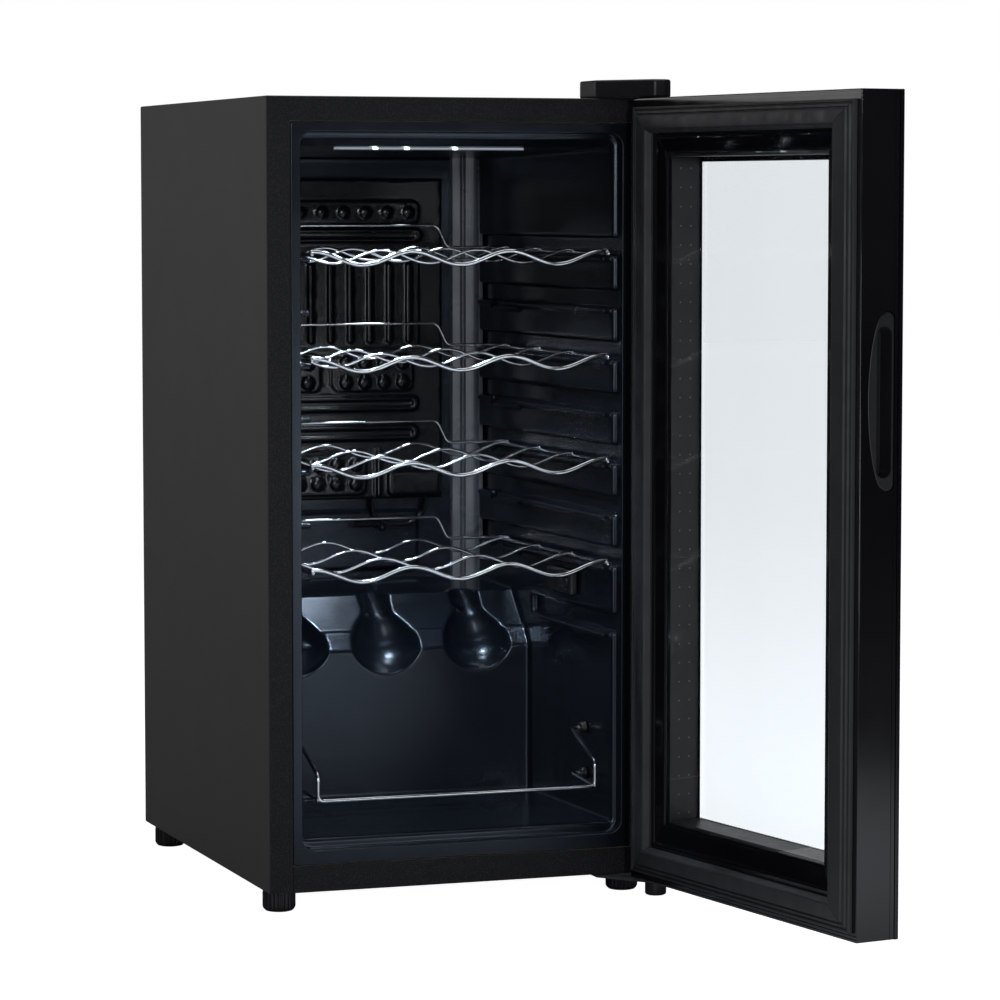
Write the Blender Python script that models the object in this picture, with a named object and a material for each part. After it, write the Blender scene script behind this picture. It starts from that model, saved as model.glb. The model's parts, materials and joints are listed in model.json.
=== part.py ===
"""Free-standing compressor wine cooler with a glass door, four wire shelves and a rear compressor bay.

The front of the cabinet faces -Y, +X is the hinge side and +Z is up. All dimensions are in millimetres.
The modelling frame has its origin on the middle of the cabinet's lower front edge; the finished
assembly is then centred on the floor point below the middle of its box. The door stands open.
"""

import math

import bmesh
import bpy
from mathutils import Matrix, Vector

MM = 0.001
FIT = 0.3
TIGHT = 0.2

# Cabinet
WIDTH = 345.0
DEPTH = 412.0
HEIGHT = 665.5
SHEET = 1.2
FLANGE = 20.5
RAIL_HEIGHT = 22.4
HALF = WIDTH / 2
INSIDE = HALF - SHEET - FIT

# Food liner: rim, mouth and the section of the cavity
LINER = 2.4
RIM_DEPTH = 2.2
RIM_TOP = HEIGHT - FLANGE - FIT
MOUTH_HALF = 143.5
MOUTH_LOW = 34.8
MOUTH_HIGH = 636.5
MOUTH_DEPTH = 12.0
CAVITY_HALF = 139.2
CAVITY_TAPER = 0.0195
FLOOR_Z = 43.5
CEILING_FRONT = 624.5
CEILING_REAR = 618.5
CAVITY_REAR = 353.0
HUMP_FACE = 209.0
HUMP_SHOULDER = 176.5
HUMP_CREST_Y = 252.0
HUMP_TOP = 223.0

# Shelf ledges moulded in the side walls
LEDGES = [532.0, 487.5, 443.0, 398.5, 354.0, 310.0, 266.0, 208.0]
GROOVE_HEIGHT = 15.5
GROOVE_DEPTH = 6.0
GROOVE_FRONT = 10.0
LIP_HALF = 129.6
LIP_HEIGHT = 5.0
LIP_REAR = 228.0

# Bottle rests in the hump
REST_PITCH = 86.5
REST_Y = 203.0
REST_Z = 189.0
REST_SHOULDER = 34.0
REST_NECK = 14.5
REST_FLARE = [(25.7, 24.5), (20.9, 31.0), (16.5, 37.5), (REST_NECK, 44.0), (REST_NECK, 94.0)]

# Machine bay behind the hump
BAY_FRONT = 243.0
BAY_TOP = 186.0
FOAM_REAR = DEPTH - SHEET - FIT

# Door, described closed; it turns about a vertical axis near its hinge-side edge
DOOR_HALF = 172.6
DOOR_LOW = 0.4
DOOR_HIGH = 665.2
DOOR_INNER = -8.5
DOOR_FRAME_FRONT = -44.3
GLASS_THICKNESS = 4.0
HINGE_X = 164.0
HINGE_Y = -28.5
OPEN_ANGLE = 99.0
WINDOW_HALF = 127.0
WINDOW_LOW = 47.5
WINDOW_HIGH = 624.5
PANE_Y = -13.0
PANE_THICKNESS = 3.2
SPACER_WIDTH = 8.5
BEAD_HALF = 136.0
BEAD_INNER = 121.0
BEAD_LOW = 32.0
BEAD_HIGH = 634.0
BEAD_FACE = -8.0
GASKET_OUTER = 167.0
GASKET_INNER = 138.0
GASKET_LOW = 7.5
GASKET_HIGH = 657.5
GASKET_FACE = -1.1
GRIP_LOW = 353.0
GRIP_HIGH = 494.0
GRIP_INNER = -15.6
GRIP_OUTER = -41.2
GRIP_DEPTH = 19.0

# Hinge hardware
PIN_RADIUS = 2.9
BUSH_BORE = 3.1
BUSH_RADIUS = 5.4
BRACKET = 2.5
COVER_TOP = 681.0

# Wire shelves
SHELF_LEDGES = [0, 2, 4, 6]
RAIL_RADIUS = 1.9
WAVE_RADIUS = 1.4
FRONT_WAVE_RADIUS = 2.0
SHELF_HALF = 132.3
SHELF_FRONT = 7.0
WAVE_SPACING = 83.0
WAVE_COUNT = 4
WAVE_PITCH = 87.0
WAVE_HEIGHT = 5.6
WAVE_STEPS = 24
BACKSTOP_Y = 264.0
BACKSTOP_RISE = 20.0
SHELF_REAR = 300.0

# Bottle guard in front of the floor
GUARD_RADIUS = 1.8
GUARD_HALF = 125.0
GUARD_Y = 16.0
GUARD_Z = 74.0
GUARD_PIN_Y = 71.0

# Feet
FOOT_HEIGHT = 19.0
FOOT_RADIUS = 14.0
FOOT_STEM = 4.0
FOOT_X = 155.5
FOOT_FRONT_Y = 30.0
FOOT_REAR_Y = 385.0

# Condenser on the back
TUBE_RADIUS = 2.4
CONDENSER_Y = 424.5
CONDENSER_HALF = 140.0
CONDENSER_LOW = 246.0
CONDENSER_PITCH = 36.0
CONDENSER_RUNS = 10

# Compressor
COMPRESSOR_X = -40.0
COMPRESSOR_Y = 328.0
COMPRESSOR_RADIUS = 56.0
COMPRESSOR_LOW = 18.0
COMPRESSOR_HIGH = 156.0


# ---------------------------------------------------------------- basic solids

def clear_scene():
    for item in list(bpy.data.objects):
        bpy.data.objects.remove(item, do_unlink=True)


def object_from(bm, name="shape"):
    bmesh.ops.recalc_face_normals(bm, faces=bm.faces)
    mesh = bpy.data.meshes.new(name)
    bm.to_mesh(mesh)
    bm.free()
    shape = bpy.data.objects.new(name, mesh)
    bpy.context.collection.objects.link(shape)
    return shape


def box(low, high):
    bm = bmesh.new()
    size = [(high[i] - low[i]) * MM for i in range(3)]
    middle = [(high[i] + low[i]) / 2 * MM for i in range(3)]
    matrix = Matrix.Translation(middle) @ Matrix.Diagonal((*size, 1.0))
    bmesh.ops.create_cube(bm, size=1.0, matrix=matrix)
    return object_from(bm)


def extruded(outline, axis, low, high):
    """A flat outline (in the two axes that follow the given one) carried from low to high."""
    bm = bmesh.new()

    def place(u, v, w):
        point = [0.0, 0.0, 0.0]
        point[axis] = w * MM
        point[(axis + 1) % 3] = u * MM
        point[(axis + 2) % 3] = v * MM
        return point

    ends = []
    for level in (low, high):
        ends.append([bm.verts.new(place(u, v, level)) for u, v in outline])
    bm.faces.new(ends[0])
    bm.faces.new(ends[1])
    count = len(outline)
    for i in range(count):
        j = (i + 1) % count
        bm.faces.new((ends[0][i], ends[0][j], ends[1][j], ends[1][i]))
    return object_from(bm)


def tapered(outline, half_width):
    """An outline in Y and Z spread to both sides by a half width that depends on Y."""
    bm = bmesh.new()
    left = [bm.verts.new((-half_width(y) * MM, y * MM, z * MM)) for y, z in outline]
    right = [bm.verts.new((half_width(y) * MM, y * MM, z * MM)) for y, z in outline]
    bm.faces.new(left)
    bm.faces.new(right)
    count = len(outline)
    for i in range(count):
        j = (i + 1) % count
        bm.faces.new((left[i], left[j], right[j], right[i]))
    return object_from(bm)


def cylinder(start, end, radius, sides=20, end_radius=None):
    start = Vector(start) * MM
    end = Vector(end) * MM
    along = end - start
    turn = along.to_track_quat("Z", "Y").to_matrix().to_4x4()
    bm = bmesh.new()
    bmesh.ops.create_cone(
        bm,
        cap_ends=True,
        segments=sides,
        radius1=radius * MM,
        radius2=(radius if end_radius is None else end_radius) * MM,
        depth=along.length,
        matrix=Matrix.Translation((start + end) / 2) @ turn,
    )
    return object_from(bm)


def turned(profile, x, y, steps=24):
    """A closed solid turned about a vertical axis from (radius, height) points; both ends lie on the axis."""
    bm = bmesh.new()
    rings = []
    for radius, z in profile:
        if radius == 0:
            rings.append([bm.verts.new((x * MM, y * MM, z * MM))])
            continue
        ring = []
        for k in range(steps):
            a = 2 * math.pi * k / steps
            point = ((x + radius * math.cos(a)) * MM, (y + radius * math.sin(a)) * MM, z * MM)
            ring.append(bm.verts.new(point))
        rings.append(ring)
    for lower, upper in zip(rings, rings[1:]):
        for k in range(steps):
            n = (k + 1) % steps
            below = (lower[k % len(lower)], lower[n % len(lower)])
            above = (upper[n % len(upper)], upper[k % len(upper)])
            bm.faces.new(list(dict.fromkeys(below + above)))
    return object_from(bm)


def wire(points, radius, resolution=1):
    """A round wire through the points, with flat ends."""
    curve = bpy.data.curves.new("wire", "CURVE")
    curve.dimensions = "3D"
    curve.bevel_depth = radius * MM
    curve.bevel_resolution = resolution
    curve.use_fill_caps = True
    spline = curve.splines.new("POLY")
    spline.points.add(len(points) - 1)
    for slot, point in zip(spline.points, points):
        slot.co = (point[0] * MM, point[1] * MM, point[2] * MM, 1.0)
    rod = bpy.data.objects.new("wire", curve)
    bpy.context.collection.objects.link(rod)
    mesh = evaluated_mesh(rod)
    bpy.data.objects.remove(rod)
    bm = bmesh.new()
    bm.from_mesh(mesh)
    bmesh.ops.remove_doubles(bm, verts=bm.verts, dist=0.00001)
    return object_from(bm)


def bent(points, radius, steps=3):
    """The same route with each corner replaced by a short arc."""
    route = [Vector(points[0])]
    for before, corner, after in zip(points, points[1:], points[2:]):
        corner = Vector(corner)
        start = corner + (Vector(before) - corner).normalized() * radius
        end = corner + (Vector(after) - corner).normalized() * radius
        for k in range(steps + 1):
            t = k / steps
            route.append(start.lerp(corner, t).lerp(corner.lerp(end, t), t))
    route.append(Vector(points[-1]))
    return route


# ---------------------------------------------------------------- combining

def evaluated_mesh(shape):
    graph = bpy.context.evaluated_depsgraph_get()
    return bpy.data.meshes.new_from_object(shape.evaluated_get(graph))


def combined(base, others, operation):
    for other in others:
        step = base.modifiers.new("step", "BOOLEAN")
        step.operation = operation
        step.solver = "EXACT"
        step.object = other
        mesh = evaluated_mesh(base)
        base.modifiers.remove(step)
        base.data = mesh
        bpy.data.objects.remove(other)
    return base


def cut(base, *cutters):
    return combined(base, cutters, "DIFFERENCE")


def joined(base, *others):
    return combined(base, others, "UNION")


def ring(low, high, inner_low, inner_high, axis=1):
    """A rectangular frame: a box with a window right through along one axis."""
    window_low = list(inner_low)
    window_high = list(inner_high)
    window_low[axis] = low[axis] - 1
    window_high[axis] = high[axis] + 1
    return cut(box(low, high), box(window_low, window_high))


# ---------------------------------------------------------------- materials and placing

def material(name, colour, roughness, metallic=0.0, alpha=1.0):
    made = bpy.data.materials.get(name)
    if made:
        return made
    made = bpy.data.materials.new(name)
    made.use_nodes = True
    shader = made.node_tree.nodes["Principled BSDF"]
    shader.inputs["Base Color"].default_value = (*colour, 1.0)
    shader.inputs["Roughness"].default_value = roughness
    shader.inputs["Metallic"].default_value = metallic
    shader.inputs["Alpha"].default_value = alpha
    return made


FINISHES = {
    "charcoal_paint": ((0.03, 0.03, 0.032), 0.45, 0.0),
    "black_paint": ((0.012, 0.012, 0.013), 0.4, 0.0),
    "black_plastic": ((0.01, 0.01, 0.011), 0.35, 0.0),
    "gloss_black": ((0.006, 0.006, 0.007), 0.12, 0.0),
    "liner_abs": ((0.012, 0.014, 0.018), 0.28, 0.0),
    "foam": ((0.8, 0.72, 0.45), 0.9, 0.0),
    "galvanised": ((0.55, 0.56, 0.57), 0.4, 1.0),
    "chrome": ((0.85, 0.86, 0.88), 0.08, 1.0),
    "copper": ((0.75, 0.4, 0.25), 0.3, 1.0),
    "rubber": ((0.015, 0.015, 0.016), 0.6, 0.0),
    "aluminium": ((0.7, 0.7, 0.72), 0.35, 1.0),
    "glass": ((0.85, 0.9, 0.93), 0.02, 0.0),
    "lens": ((0.9, 0.92, 0.95), 0.3, 0.0),
    "white_plastic": ((0.75, 0.75, 0.73), 0.5, 0.0),
}


def finish(shape, name, look, parent, smooth=False):
    shape.name = name
    shape.data.name = name
    colour, roughness, metallic = FINISHES[look]
    shape.data.materials.clear()
    shape.data.materials.append(material(look, colour, roughness, metallic))
    shape.parent = parent
    if smooth:
        shape.data.shade_smooth()
        shape.data.set_sharp_from_angle(angle=math.radians(35))
    return shape


def moved_origin(shape, x, y, z):
    """Puts the object's origin at a point of the modelling frame without moving its mesh."""
    shift = Vector((x, y, z)) * MM
    shape.data.transform(Matrix.Translation(-shift))
    shape.location = shift
    return shape


# ---------------------------------------------------------------- cabinet

def wall_half(y):
    return CAVITY_HALF - CAVITY_TAPER * y


def cavity(grow, front):
    """The storage space as a solid, swollen by grow, starting at the given front plane."""
    slope = 0.41 * grow
    outline = [
        (front, MOUTH_LOW - grow),
        (0.6, MOUTH_LOW - grow),
        (14.0, FLOOR_Z - grow),
        (HUMP_FACE + grow, FLOOR_Z - grow),
        (HUMP_FACE + grow, HUMP_SHOULDER - slope),
        (HUMP_CREST_Y + slope, HUMP_TOP - grow),
        (CAVITY_REAR + grow, HUMP_TOP + 3.0 - grow),
        (CAVITY_REAR + grow, CEILING_REAR + grow),
        (26.0, CEILING_FRONT + grow),
        (0.6, MOUTH_HIGH + grow),
        (front, MOUTH_HIGH + grow),
    ]
    space = tapered(outline, lambda y: wall_half(y) + grow)
    mouth_half = MOUTH_HALF + grow
    mouth_low = MOUTH_LOW - grow + 0.05
    mouth_high = MOUTH_HIGH + grow - 0.05
    mouth = box((-mouth_half, front, mouth_low), (mouth_half, MOUTH_DEPTH + grow, mouth_high))
    joined(space, mouth)
    for ledge in LEDGES:
        joined(space, groove(ledge, grow))
    for x in (-REST_PITCH, 0.0, REST_PITCH):
        joined(space, bottle_rest(x, grow))
    return space


def groove(ledge, grow):
    rear = CAVITY_REAR - 2.0 + grow * 0.5
    if ledge < HUMP_TOP:
        rear = HUMP_CREST_Y - 10.0
    low = ledge - grow
    high = ledge + GROOVE_HEIGHT + grow
    outline = [(GROOVE_FRONT - grow, low), (rear, low), (rear, high), (GROOVE_FRONT - grow, high)]
    if ledge < HUMP_TOP:
        keep = HUMP_FACE - 6.0 + grow
        outline = [(GROOVE_FRONT - grow, low), (keep, low), (keep, high), (GROOVE_FRONT - grow, high)]
    return tapered(outline, lambda y: wall_half(y) + GROOVE_DEPTH + grow)


def bottle_rest(x, grow):
    """The hollow left by a bottle's shoulder and neck lying against the sloping top of the hump."""
    centre = Vector((x, REST_Y, REST_Z)) * MM
    rise = Vector((0.0, HUMP_CREST_Y - 2.6 - REST_Y, HUMP_TOP + 2.4 - REST_Z))
    radius = REST_SHOULDER + grow
    profile = [(0, -radius)]
    for angle in range(-75, 31, 15):
        turn = math.radians(angle)
        profile.append((radius * math.cos(turn), radius * math.sin(turn)))
    for width, reach in REST_FLARE:
        profile.append((width + grow, reach))
    profile.append((0, REST_FLARE[-1][1]))
    rest = turned(profile, 0, 0)
    rest.data.transform(Matrix.Translation(centre) @ rise.to_track_quat("Z", "Y").to_matrix().to_4x4())
    return rest


def inner_liner(root):
    shell = cavity(LINER, 1.0)
    rim = box((-151.6, 0.0, RAIL_HEIGHT + FIT), (151.6, RIM_DEPTH, RIM_TOP))
    joined(shell, rim)
    space = cavity(0.0, -6.0)
    for ledge in LEDGES:
        rear = LIP_REAR if ledge > HUMP_TOP else HUMP_FACE - 20.0
        for side in (-1, 1):
            reach = sorted((side * LIP_HALF, side * 160.0))
            lip = box((reach[0], GROOVE_FRONT + 4.0, ledge - LIP_HEIGHT), (reach[1], rear, ledge))
            cut(space, lip)
    cut(shell, space)
    return finish(shell, "inner_liner", "liner_abs", root)


def outer_shell(root):
    shell = box((-HALF, 0.0, 0.0), (HALF, DEPTH, HEIGHT))
    inside = box((-HALF + SHEET, SHEET, -5.0), (HALF - SHEET, DEPTH + 5.0, HEIGHT - SHEET))
    front = box((-HALF + FLANGE, -5.0, -5.0), (HALF - FLANGE, SHEET + 5.0, HEIGHT - FLANGE))
    return finish(cut(shell, inside, front), "outer_shell", "charcoal_paint", root)


def front_bottom_rail(root):
    outline = [
        (0.0, 0.0),
        (20.0, 0.0),
        (20.0, SHEET),
        (SHEET, SHEET),
        (SHEET, RAIL_HEIGHT),
        (0.0, RAIL_HEIGHT),
    ]
    return finish(extruded(outline, 0, -151.6, 151.6), "front_bottom_rail", "black_paint", root)


def base_pan(root):
    front = 20.0 + FIT
    outline = [
        (front, 0.0),
        (BAY_FRONT, 0.0),
        (BAY_FRONT, BAY_TOP - SHEET),
        (FOAM_REAR, BAY_TOP - SHEET),
        (FOAM_REAR, BAY_TOP),
        (BAY_FRONT - SHEET, BAY_TOP),
        (BAY_FRONT - SHEET, SHEET),
        (front, SHEET),
    ]
    pan = extruded(outline, 0, -INSIDE, INSIDE)
    for side in (-1, 1):
        x = side * FOOT_X
        cut(pan, cylinder((x, FOOT_FRONT_Y, -5), (x, FOOT_FRONT_Y, 5), FOOT_STEM + 0.5))
    return finish(pan, "base_pan", "galvanised", root)


def foam_insulation(root):
    low = SHEET + FIT
    foam = box((-INSIDE, RIM_DEPTH + 0.6, low), (INSIDE, FOAM_REAR, HEIGHT - SHEET - FIT))
    bay = box((-HALF, BAY_FRONT - SHEET - FIT, -5.0), (HALF, DEPTH, BAY_TOP + FIT))
    rail = box((-HALF, -5.0, -5.0), (HALF, 20.0 + FIT, low + 0.5))
    cut(foam, bay, rail, cavity(LINER + FIT, -6.0))
    for side in (-1, 1):
        x = side * FOOT_X
        cut(foam, cylinder((x, FOOT_FRONT_Y, -5), (x, FOOT_FRONT_Y, 16), FOOT_STEM + 1.5))
    return finish(foam, "foam_insulation", "foam", root)


def back_panel(root):
    low = (-INSIDE, DEPTH - SHEET, BAY_TOP + FIT)
    high = (INSIDE, DEPTH, HEIGHT - SHEET - FIT)
    return finish(box(low, high), "back_panel", "galvanised", root)


def bay_base(root):
    plate = box((-INSIDE, BAY_FRONT + 3.0, 0.0), (INSIDE, DEPTH - 2.0, 2.0))
    lip = box((-INSIDE, DEPTH - 4.0, 1.0), (INSIDE, DEPTH - 2.0, 16.0))
    joined(plate, lip)
    for side in (-1, 1):
        x = side * FOOT_X
        cut(plate, cylinder((x, FOOT_REAR_Y, -5), (x, FOOT_REAR_Y, 5), FOOT_STEM + 0.5))
    return finish(plate, "compressor_base", "galvanised", root)


# ---------------------------------------------------------------- fittings inside the cavity

def evaporator(root):
    """Roll-bonded plate hung in front of the rear wall, with raised refrigerant channels."""
    face = 341.0
    plate = box((-98.0, face, 302.0), (98.0, face + 2.0, 600.0))
    for k in range(9):
        x = -88.0 + k * 19.2
        joined(plate, box((x, face - 2.0, 445.0), (x + 9.0, face + 1.0, 522.0)))
    joined(plate, box((-90.0, face - 2.5, 402.0), (73.0, face + 1.0, 438.0)))
    joined(plate, box((-90.0, face - 2.0, 364.0), (73.0, face + 1.0, 380.0)))
    joined(plate, box((-90.0, face - 2.0, 540.0), (73.0, face + 1.0, 554.0)))
    return finish(plate, "evaporator_plate", "gloss_black", root)


def evaporator_tube(root):
    y = 346.5
    route = bent([(30, y, 330), (30, y, 284), (84, y, 284), (84, y, 330)], 14.0)
    return finish(wire(route, 2.2), "evaporator_tube", "black_paint", root, smooth=True)


def sensor_cover(root):
    outer = wall_half(150) - FIT
    face = outer - 6.0
    cover = box((face, 88.0, 233.0), (outer, 150.0, 254.0))
    for k in range(5):
        y = 122.0 + k * 5.0
        cut(cover, box((face - 5.0, y, 236.0), (face + 2.5, y + 2.0, 251.0)))
    return finish(cover, "sensor_cover", "black_plastic", root)


def lamp_lens(root):
    return finish(box((-100.0, 34.0, 621.4), (66.0, 46.0, 623.8)), "lamp_lens", "lens", root)


def shelf_mesh():
    """One wire shelf at the height of its rails: two rails, wavy cross wires and a raised back stop."""
    rail_ends = (SHELF_FRONT - 3.0, SHELF_REAR)
    frame = wire([(-SHELF_HALF, rail_ends[0], 0), (-SHELF_HALF, rail_ends[1], 0)], RAIL_RADIUS)
    joined(frame, wire([(SHELF_HALF, rail_ends[0], 0), (SHELF_HALF, rail_ends[1], 0)], RAIL_RADIUS))
    for row in range(WAVE_COUNT):
        y = SHELF_FRONT + row * WAVE_SPACING
        radius = FRONT_WAVE_RADIUS if row == 0 else WAVE_RADIUS
        joined(frame, wire(wave_points(y, RAIL_RADIUS + 0.5), radius))
    bend = 66.0
    level = RAIL_RADIUS + 0.4
    stop = [
        (-SHELF_HALF, BACKSTOP_Y, level),
        (-bend - 10.0, BACKSTOP_Y, level),
        (-bend, BACKSTOP_Y, level + BACKSTOP_RISE),
        (bend, BACKSTOP_Y, level + BACKSTOP_RISE),
        (bend + 10.0, BACKSTOP_Y, level),
        (SHELF_HALF, BACKSTOP_Y, level),
    ]
    joined(frame, wire(bent(stop, 5.0), WAVE_RADIUS))
    return frame


def wave_points(y, top):
    """A cosine wave with a trough on the centre line and its crests level with top."""
    points = []
    crest = 1.5 * WAVE_PITCH
    for k in range(WAVE_STEPS + 1):
        x = crest * (2.0 * k / WAVE_STEPS - 1.0)
        dip = (1.0 + math.cos(2.0 * math.pi * x / WAVE_PITCH)) / 2.0
        points.append((x, y, top - 2.0 * WAVE_HEIGHT * dip))
    points[0] = (-SHELF_HALF, y, top)
    points[-1] = (SHELF_HALF, y, top)
    return points


def shelves(root):
    pattern = shelf_mesh()
    for number, level in enumerate(SHELF_LEDGES, start=1):
        shape = pattern
        if number > 1:
            shape = bpy.data.objects.new("shelf", pattern.data)
            bpy.context.collection.objects.link(shape)
        shape.location = (0.0, 0.0, (LEDGES[level] + RAIL_RADIUS + FIT) * MM)
        shape.parent = root
        shape.name = "wire_shelf_%d" % number
    finish(pattern, "wire_shelf_1", "chrome", root, smooth=True)


def bottle_guard(root):
    reach = wall_half(GUARD_PIN_Y) - 0.8
    upper = GUARD_Z + 44.0
    lower = GUARD_Z + 4.0
    sides = []
    for side in (-1, 1):
        x = side * GUARD_HALF
        sides.append(
            [
                (side * reach, GUARD_PIN_Y, upper),
                (x, GUARD_PIN_Y, upper),
                (x, GUARD_Y, GUARD_Z + 22.0),
                (x, GUARD_Y, GUARD_Z),
            ]
        )
    loop = sides[0] + sides[1][::-1]
    guard = wire(bent(loop, 4.0), GUARD_RADIUS)
    for side in (-1, 1):
        x = side * GUARD_HALF
        arm = [(side * reach, GUARD_PIN_Y, lower), (x, GUARD_PIN_Y, lower), (x, GUARD_Y + 0.6, GUARD_Z + 0.8)]
        joined(guard, wire(bent(arm, 4.0), GUARD_RADIUS - 0.2))
    finish(guard, "bottle_guard", "chrome", root, smooth=True)
    for side, word in ((-1, "left"), (1, "right")):
        for z, place in ((upper, "upper"), (lower, "lower")):
            inner = side * (reach - 4.5)
            outer = side * (reach + 0.2)
            cup = cylinder((inner, GUARD_PIN_Y, z), (outer, GUARD_PIN_Y, z), 4.6, 16)
            near = (inner - side * 2, GUARD_PIN_Y, z)
            far = (outer + side * 2, GUARD_PIN_Y, z)
            bore = cylinder(near, far, GUARD_RADIUS + 0.3, 12)
            finish(cut(cup, bore), "guard_socket_%s_%s" % (place, word), "black_plastic", root, smooth=True)


# ---------------------------------------------------------------- feet and hinges

def levelling_feet(root):
    for side, word in ((-1, "left"), (1, "right")):
        for y, place in ((FOOT_FRONT_Y, "front"), (FOOT_REAR_Y, "rear")):
            x = side * FOOT_X
            profile = [
                (0, -FOOT_HEIGHT),
                (FOOT_RADIUS - 2.5, -FOOT_HEIGHT),
                (FOOT_RADIUS, -FOOT_HEIGHT + 3.0),
                (FOOT_RADIUS, -FIT),
                (FOOT_STEM, -FIT),
                (FOOT_STEM, 13.0),
                (0, 13.0),
            ]
            foot = turned(profile, x, y, 20)
            finish(foot, "levelling_foot_%s_%s" % (place, word), "black_plastic", root, smooth=True)
            moved_origin(foot, x, y, -FOOT_HEIGHT)


def upper_hinge(root):
    low = HEIGHT + FIT
    outline = [(123, 8), (123, 36), (166, 36), (170, 30), (170, -30), (166, -37), (158, -37), (150, -22)]
    plate = extruded(outline, 2, low, low + BRACKET)
    joined(plate, cylinder((HINGE_X, HINGE_Y, 652), (HINGE_X, HINGE_Y, low + 1), PIN_RADIUS, 16))
    for x, y in ((131, 22), (152, 22)):
        joined(plate, cylinder((x, y, low + 1), (x, y, low + 5), 4.5, 12))
    finish(plate, "upper_hinge_bracket", "galvanised", root)


def hinge_cover(root):
    outline = [(119, 3), (119, 40), (122, 43), (169, 43), (172, 40), (172, -38), (165, -45), (154, -45)]
    hollow = [(121, 4), (121, 41), (170, 41), (170, -37), (164, -43), (155, -43)]
    low = HEIGHT + FIT
    cover = extruded(outline, 2, low, COVER_TOP)
    cut(cover, extruded(hollow, 2, low - 5, COVER_TOP - 2))
    return finish(cover, "upper_hinge_cover", "black_plastic", root)


def lower_hinge(root):
    high = -FIT
    low = high - 3.0
    outline = [(122, 3), (122, 60), (136, 60), (138, 12), (170, 12), (172, -30), (166, -38), (156, -38)]
    plate = extruded(outline, 2, low, high)
    joined(plate, cylinder((HINGE_X, HINGE_Y, low + 1), (HINGE_X, HINGE_Y, 14), PIN_RADIUS, 16))
    finish(plate, "lower_hinge_bracket", "black_paint", root)
    outline = [(0, -15.0), (8.0, -15.0), (9.2, -13.5), (9.2, low - FIT), (0, low - FIT)]
    cap = turned(outline, HINGE_X, HINGE_Y, 20)
    finish(cap, "lower_hinge_cap", "black_plastic", root, smooth=True)


# ---------------------------------------------------------------- door

def door_frame(door):
    frame = box((-DOOR_HALF, DOOR_FRAME_FRONT, DOOR_LOW), (DOOR_HALF, DOOR_INNER, DOOR_HIGH))
    window = box((-WINDOW_HALF, -60, WINDOW_LOW), (WINDOW_HALF, 5, WINDOW_HIGH))
    seat = box((-BEAD_HALF - FIT, PANE_Y + 0.2, BEAD_LOW - FIT), (BEAD_HALF + FIT, 5, BEAD_HIGH + FIT))
    cut(frame, window, seat)
    cut(frame, box(
        (-DOOR_HALF - 5, GRIP_OUTER, GRIP_LOW),
        (-DOOR_HALF + GRIP_DEPTH, GRIP_INNER, GRIP_HIGH),
    ))
    for z in ((645.0, 680.0), (-10.0, 20.0)):
        cut(frame, cylinder((HINGE_X, HINGE_Y, z[0]), (HINGE_X, HINGE_Y, z[1]), BUSH_RADIUS + TIGHT, 20))
    cut(frame, box((-46, DOOR_FRAME_FRONT - 5, 632), (46, DOOR_FRAME_FRONT + 9, 656)))
    return finish(frame, "door_frame", "gloss_black", door)


def hinge_bushes(door):
    for name, low, high in (("upper_hinge_bush", 646.0, 664.8), ("lower_hinge_bush", 0.8, 19.0)):
        bush = cylinder((HINGE_X, HINGE_Y, low), (HINGE_X, HINGE_Y, high), BUSH_RADIUS, 20)
        bore = cylinder((HINGE_X, HINGE_Y, low - 2), (HINGE_X, HINGE_Y, high + 2), BUSH_BORE, 16)
        finish(cut(bush, bore), name, "white_plastic", door, smooth=True)


def glazing(door):
    half = WINDOW_HALF - FIT
    low = WINDOW_LOW + FIT
    high = WINDOW_HIGH - FIT
    pane = box((-half, PANE_Y - PANE_THICKNESS, low), (half, PANE_Y, high))
    finish(pane, "inner_glass", "glass", door)
    spacer = ring(
        (-half, DOOR_FRAME_FRONT, low),
        (half, PANE_Y - PANE_THICKNESS - FIT, high),
        (-half + SPACER_WIDTH, 0, low + SPACER_WIDTH),
        (half - SPACER_WIDTH, 0, high - SPACER_WIDTH),
    )
    finish(spacer, "glass_spacer", "aluminium", door)
    front = DOOR_FRAME_FRONT - FIT
    sheet = box((-DOOR_HALF, front - GLASS_THICKNESS, DOOR_LOW), (DOOR_HALF, front, DOOR_HIGH))
    finish(sheet, "front_glass", "glass", door)


def glazing_bead(door):
    """Frame that holds the inner pane; its face slopes down towards the glass."""
    back = PANE_Y + FIT
    bead = ring(
        (-BEAD_HALF, back, BEAD_LOW),
        (BEAD_HALF, BEAD_FACE, BEAD_HIGH),
        (-BEAD_INNER, 0, BEAD_LOW + 21.5),
        (BEAD_INNER, 0, BEAD_HIGH - 15.5),
    )
    return finish(bead, "glazing_bead", "gloss_black", door)


def gasket(door):
    seal = ring(
        (-GASKET_OUTER, DOOR_INNER + FIT, GASKET_LOW),
        (GASKET_OUTER, GASKET_FACE, GASKET_HIGH),
        (-GASKET_INNER, 0, GASKET_LOW + 23.5),
        (GASKET_INNER, 0, GASKET_HIGH - 22.0),
    )
    return finish(seal, "door_gasket", "rubber", door)


def grip_insert(door):
    """Finger pocket let into the free edge of the door."""
    edge = -DOOR_HALF
    outer = (edge, GRIP_OUTER + FIT, GRIP_LOW + FIT)
    inner = (edge + GRIP_DEPTH - FIT, GRIP_INNER - FIT, GRIP_HIGH - FIT)
    cup = box(outer, inner)
    slot = box((edge - 5, -38.0, GRIP_LOW + 11), (edge + GRIP_DEPTH - 3, -24.0, GRIP_HIGH - 12))
    return finish(cut(cup, slot), "grip_insert", "black_plastic", door)


def display_module(door):
    low = (-45.6, DOOR_FRAME_FRONT, 632.4)
    high = (45.6, DOOR_FRAME_FRONT + 8.6, 655.6)
    return finish(box(low, high), "display_module", "black_plastic", door)


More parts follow.
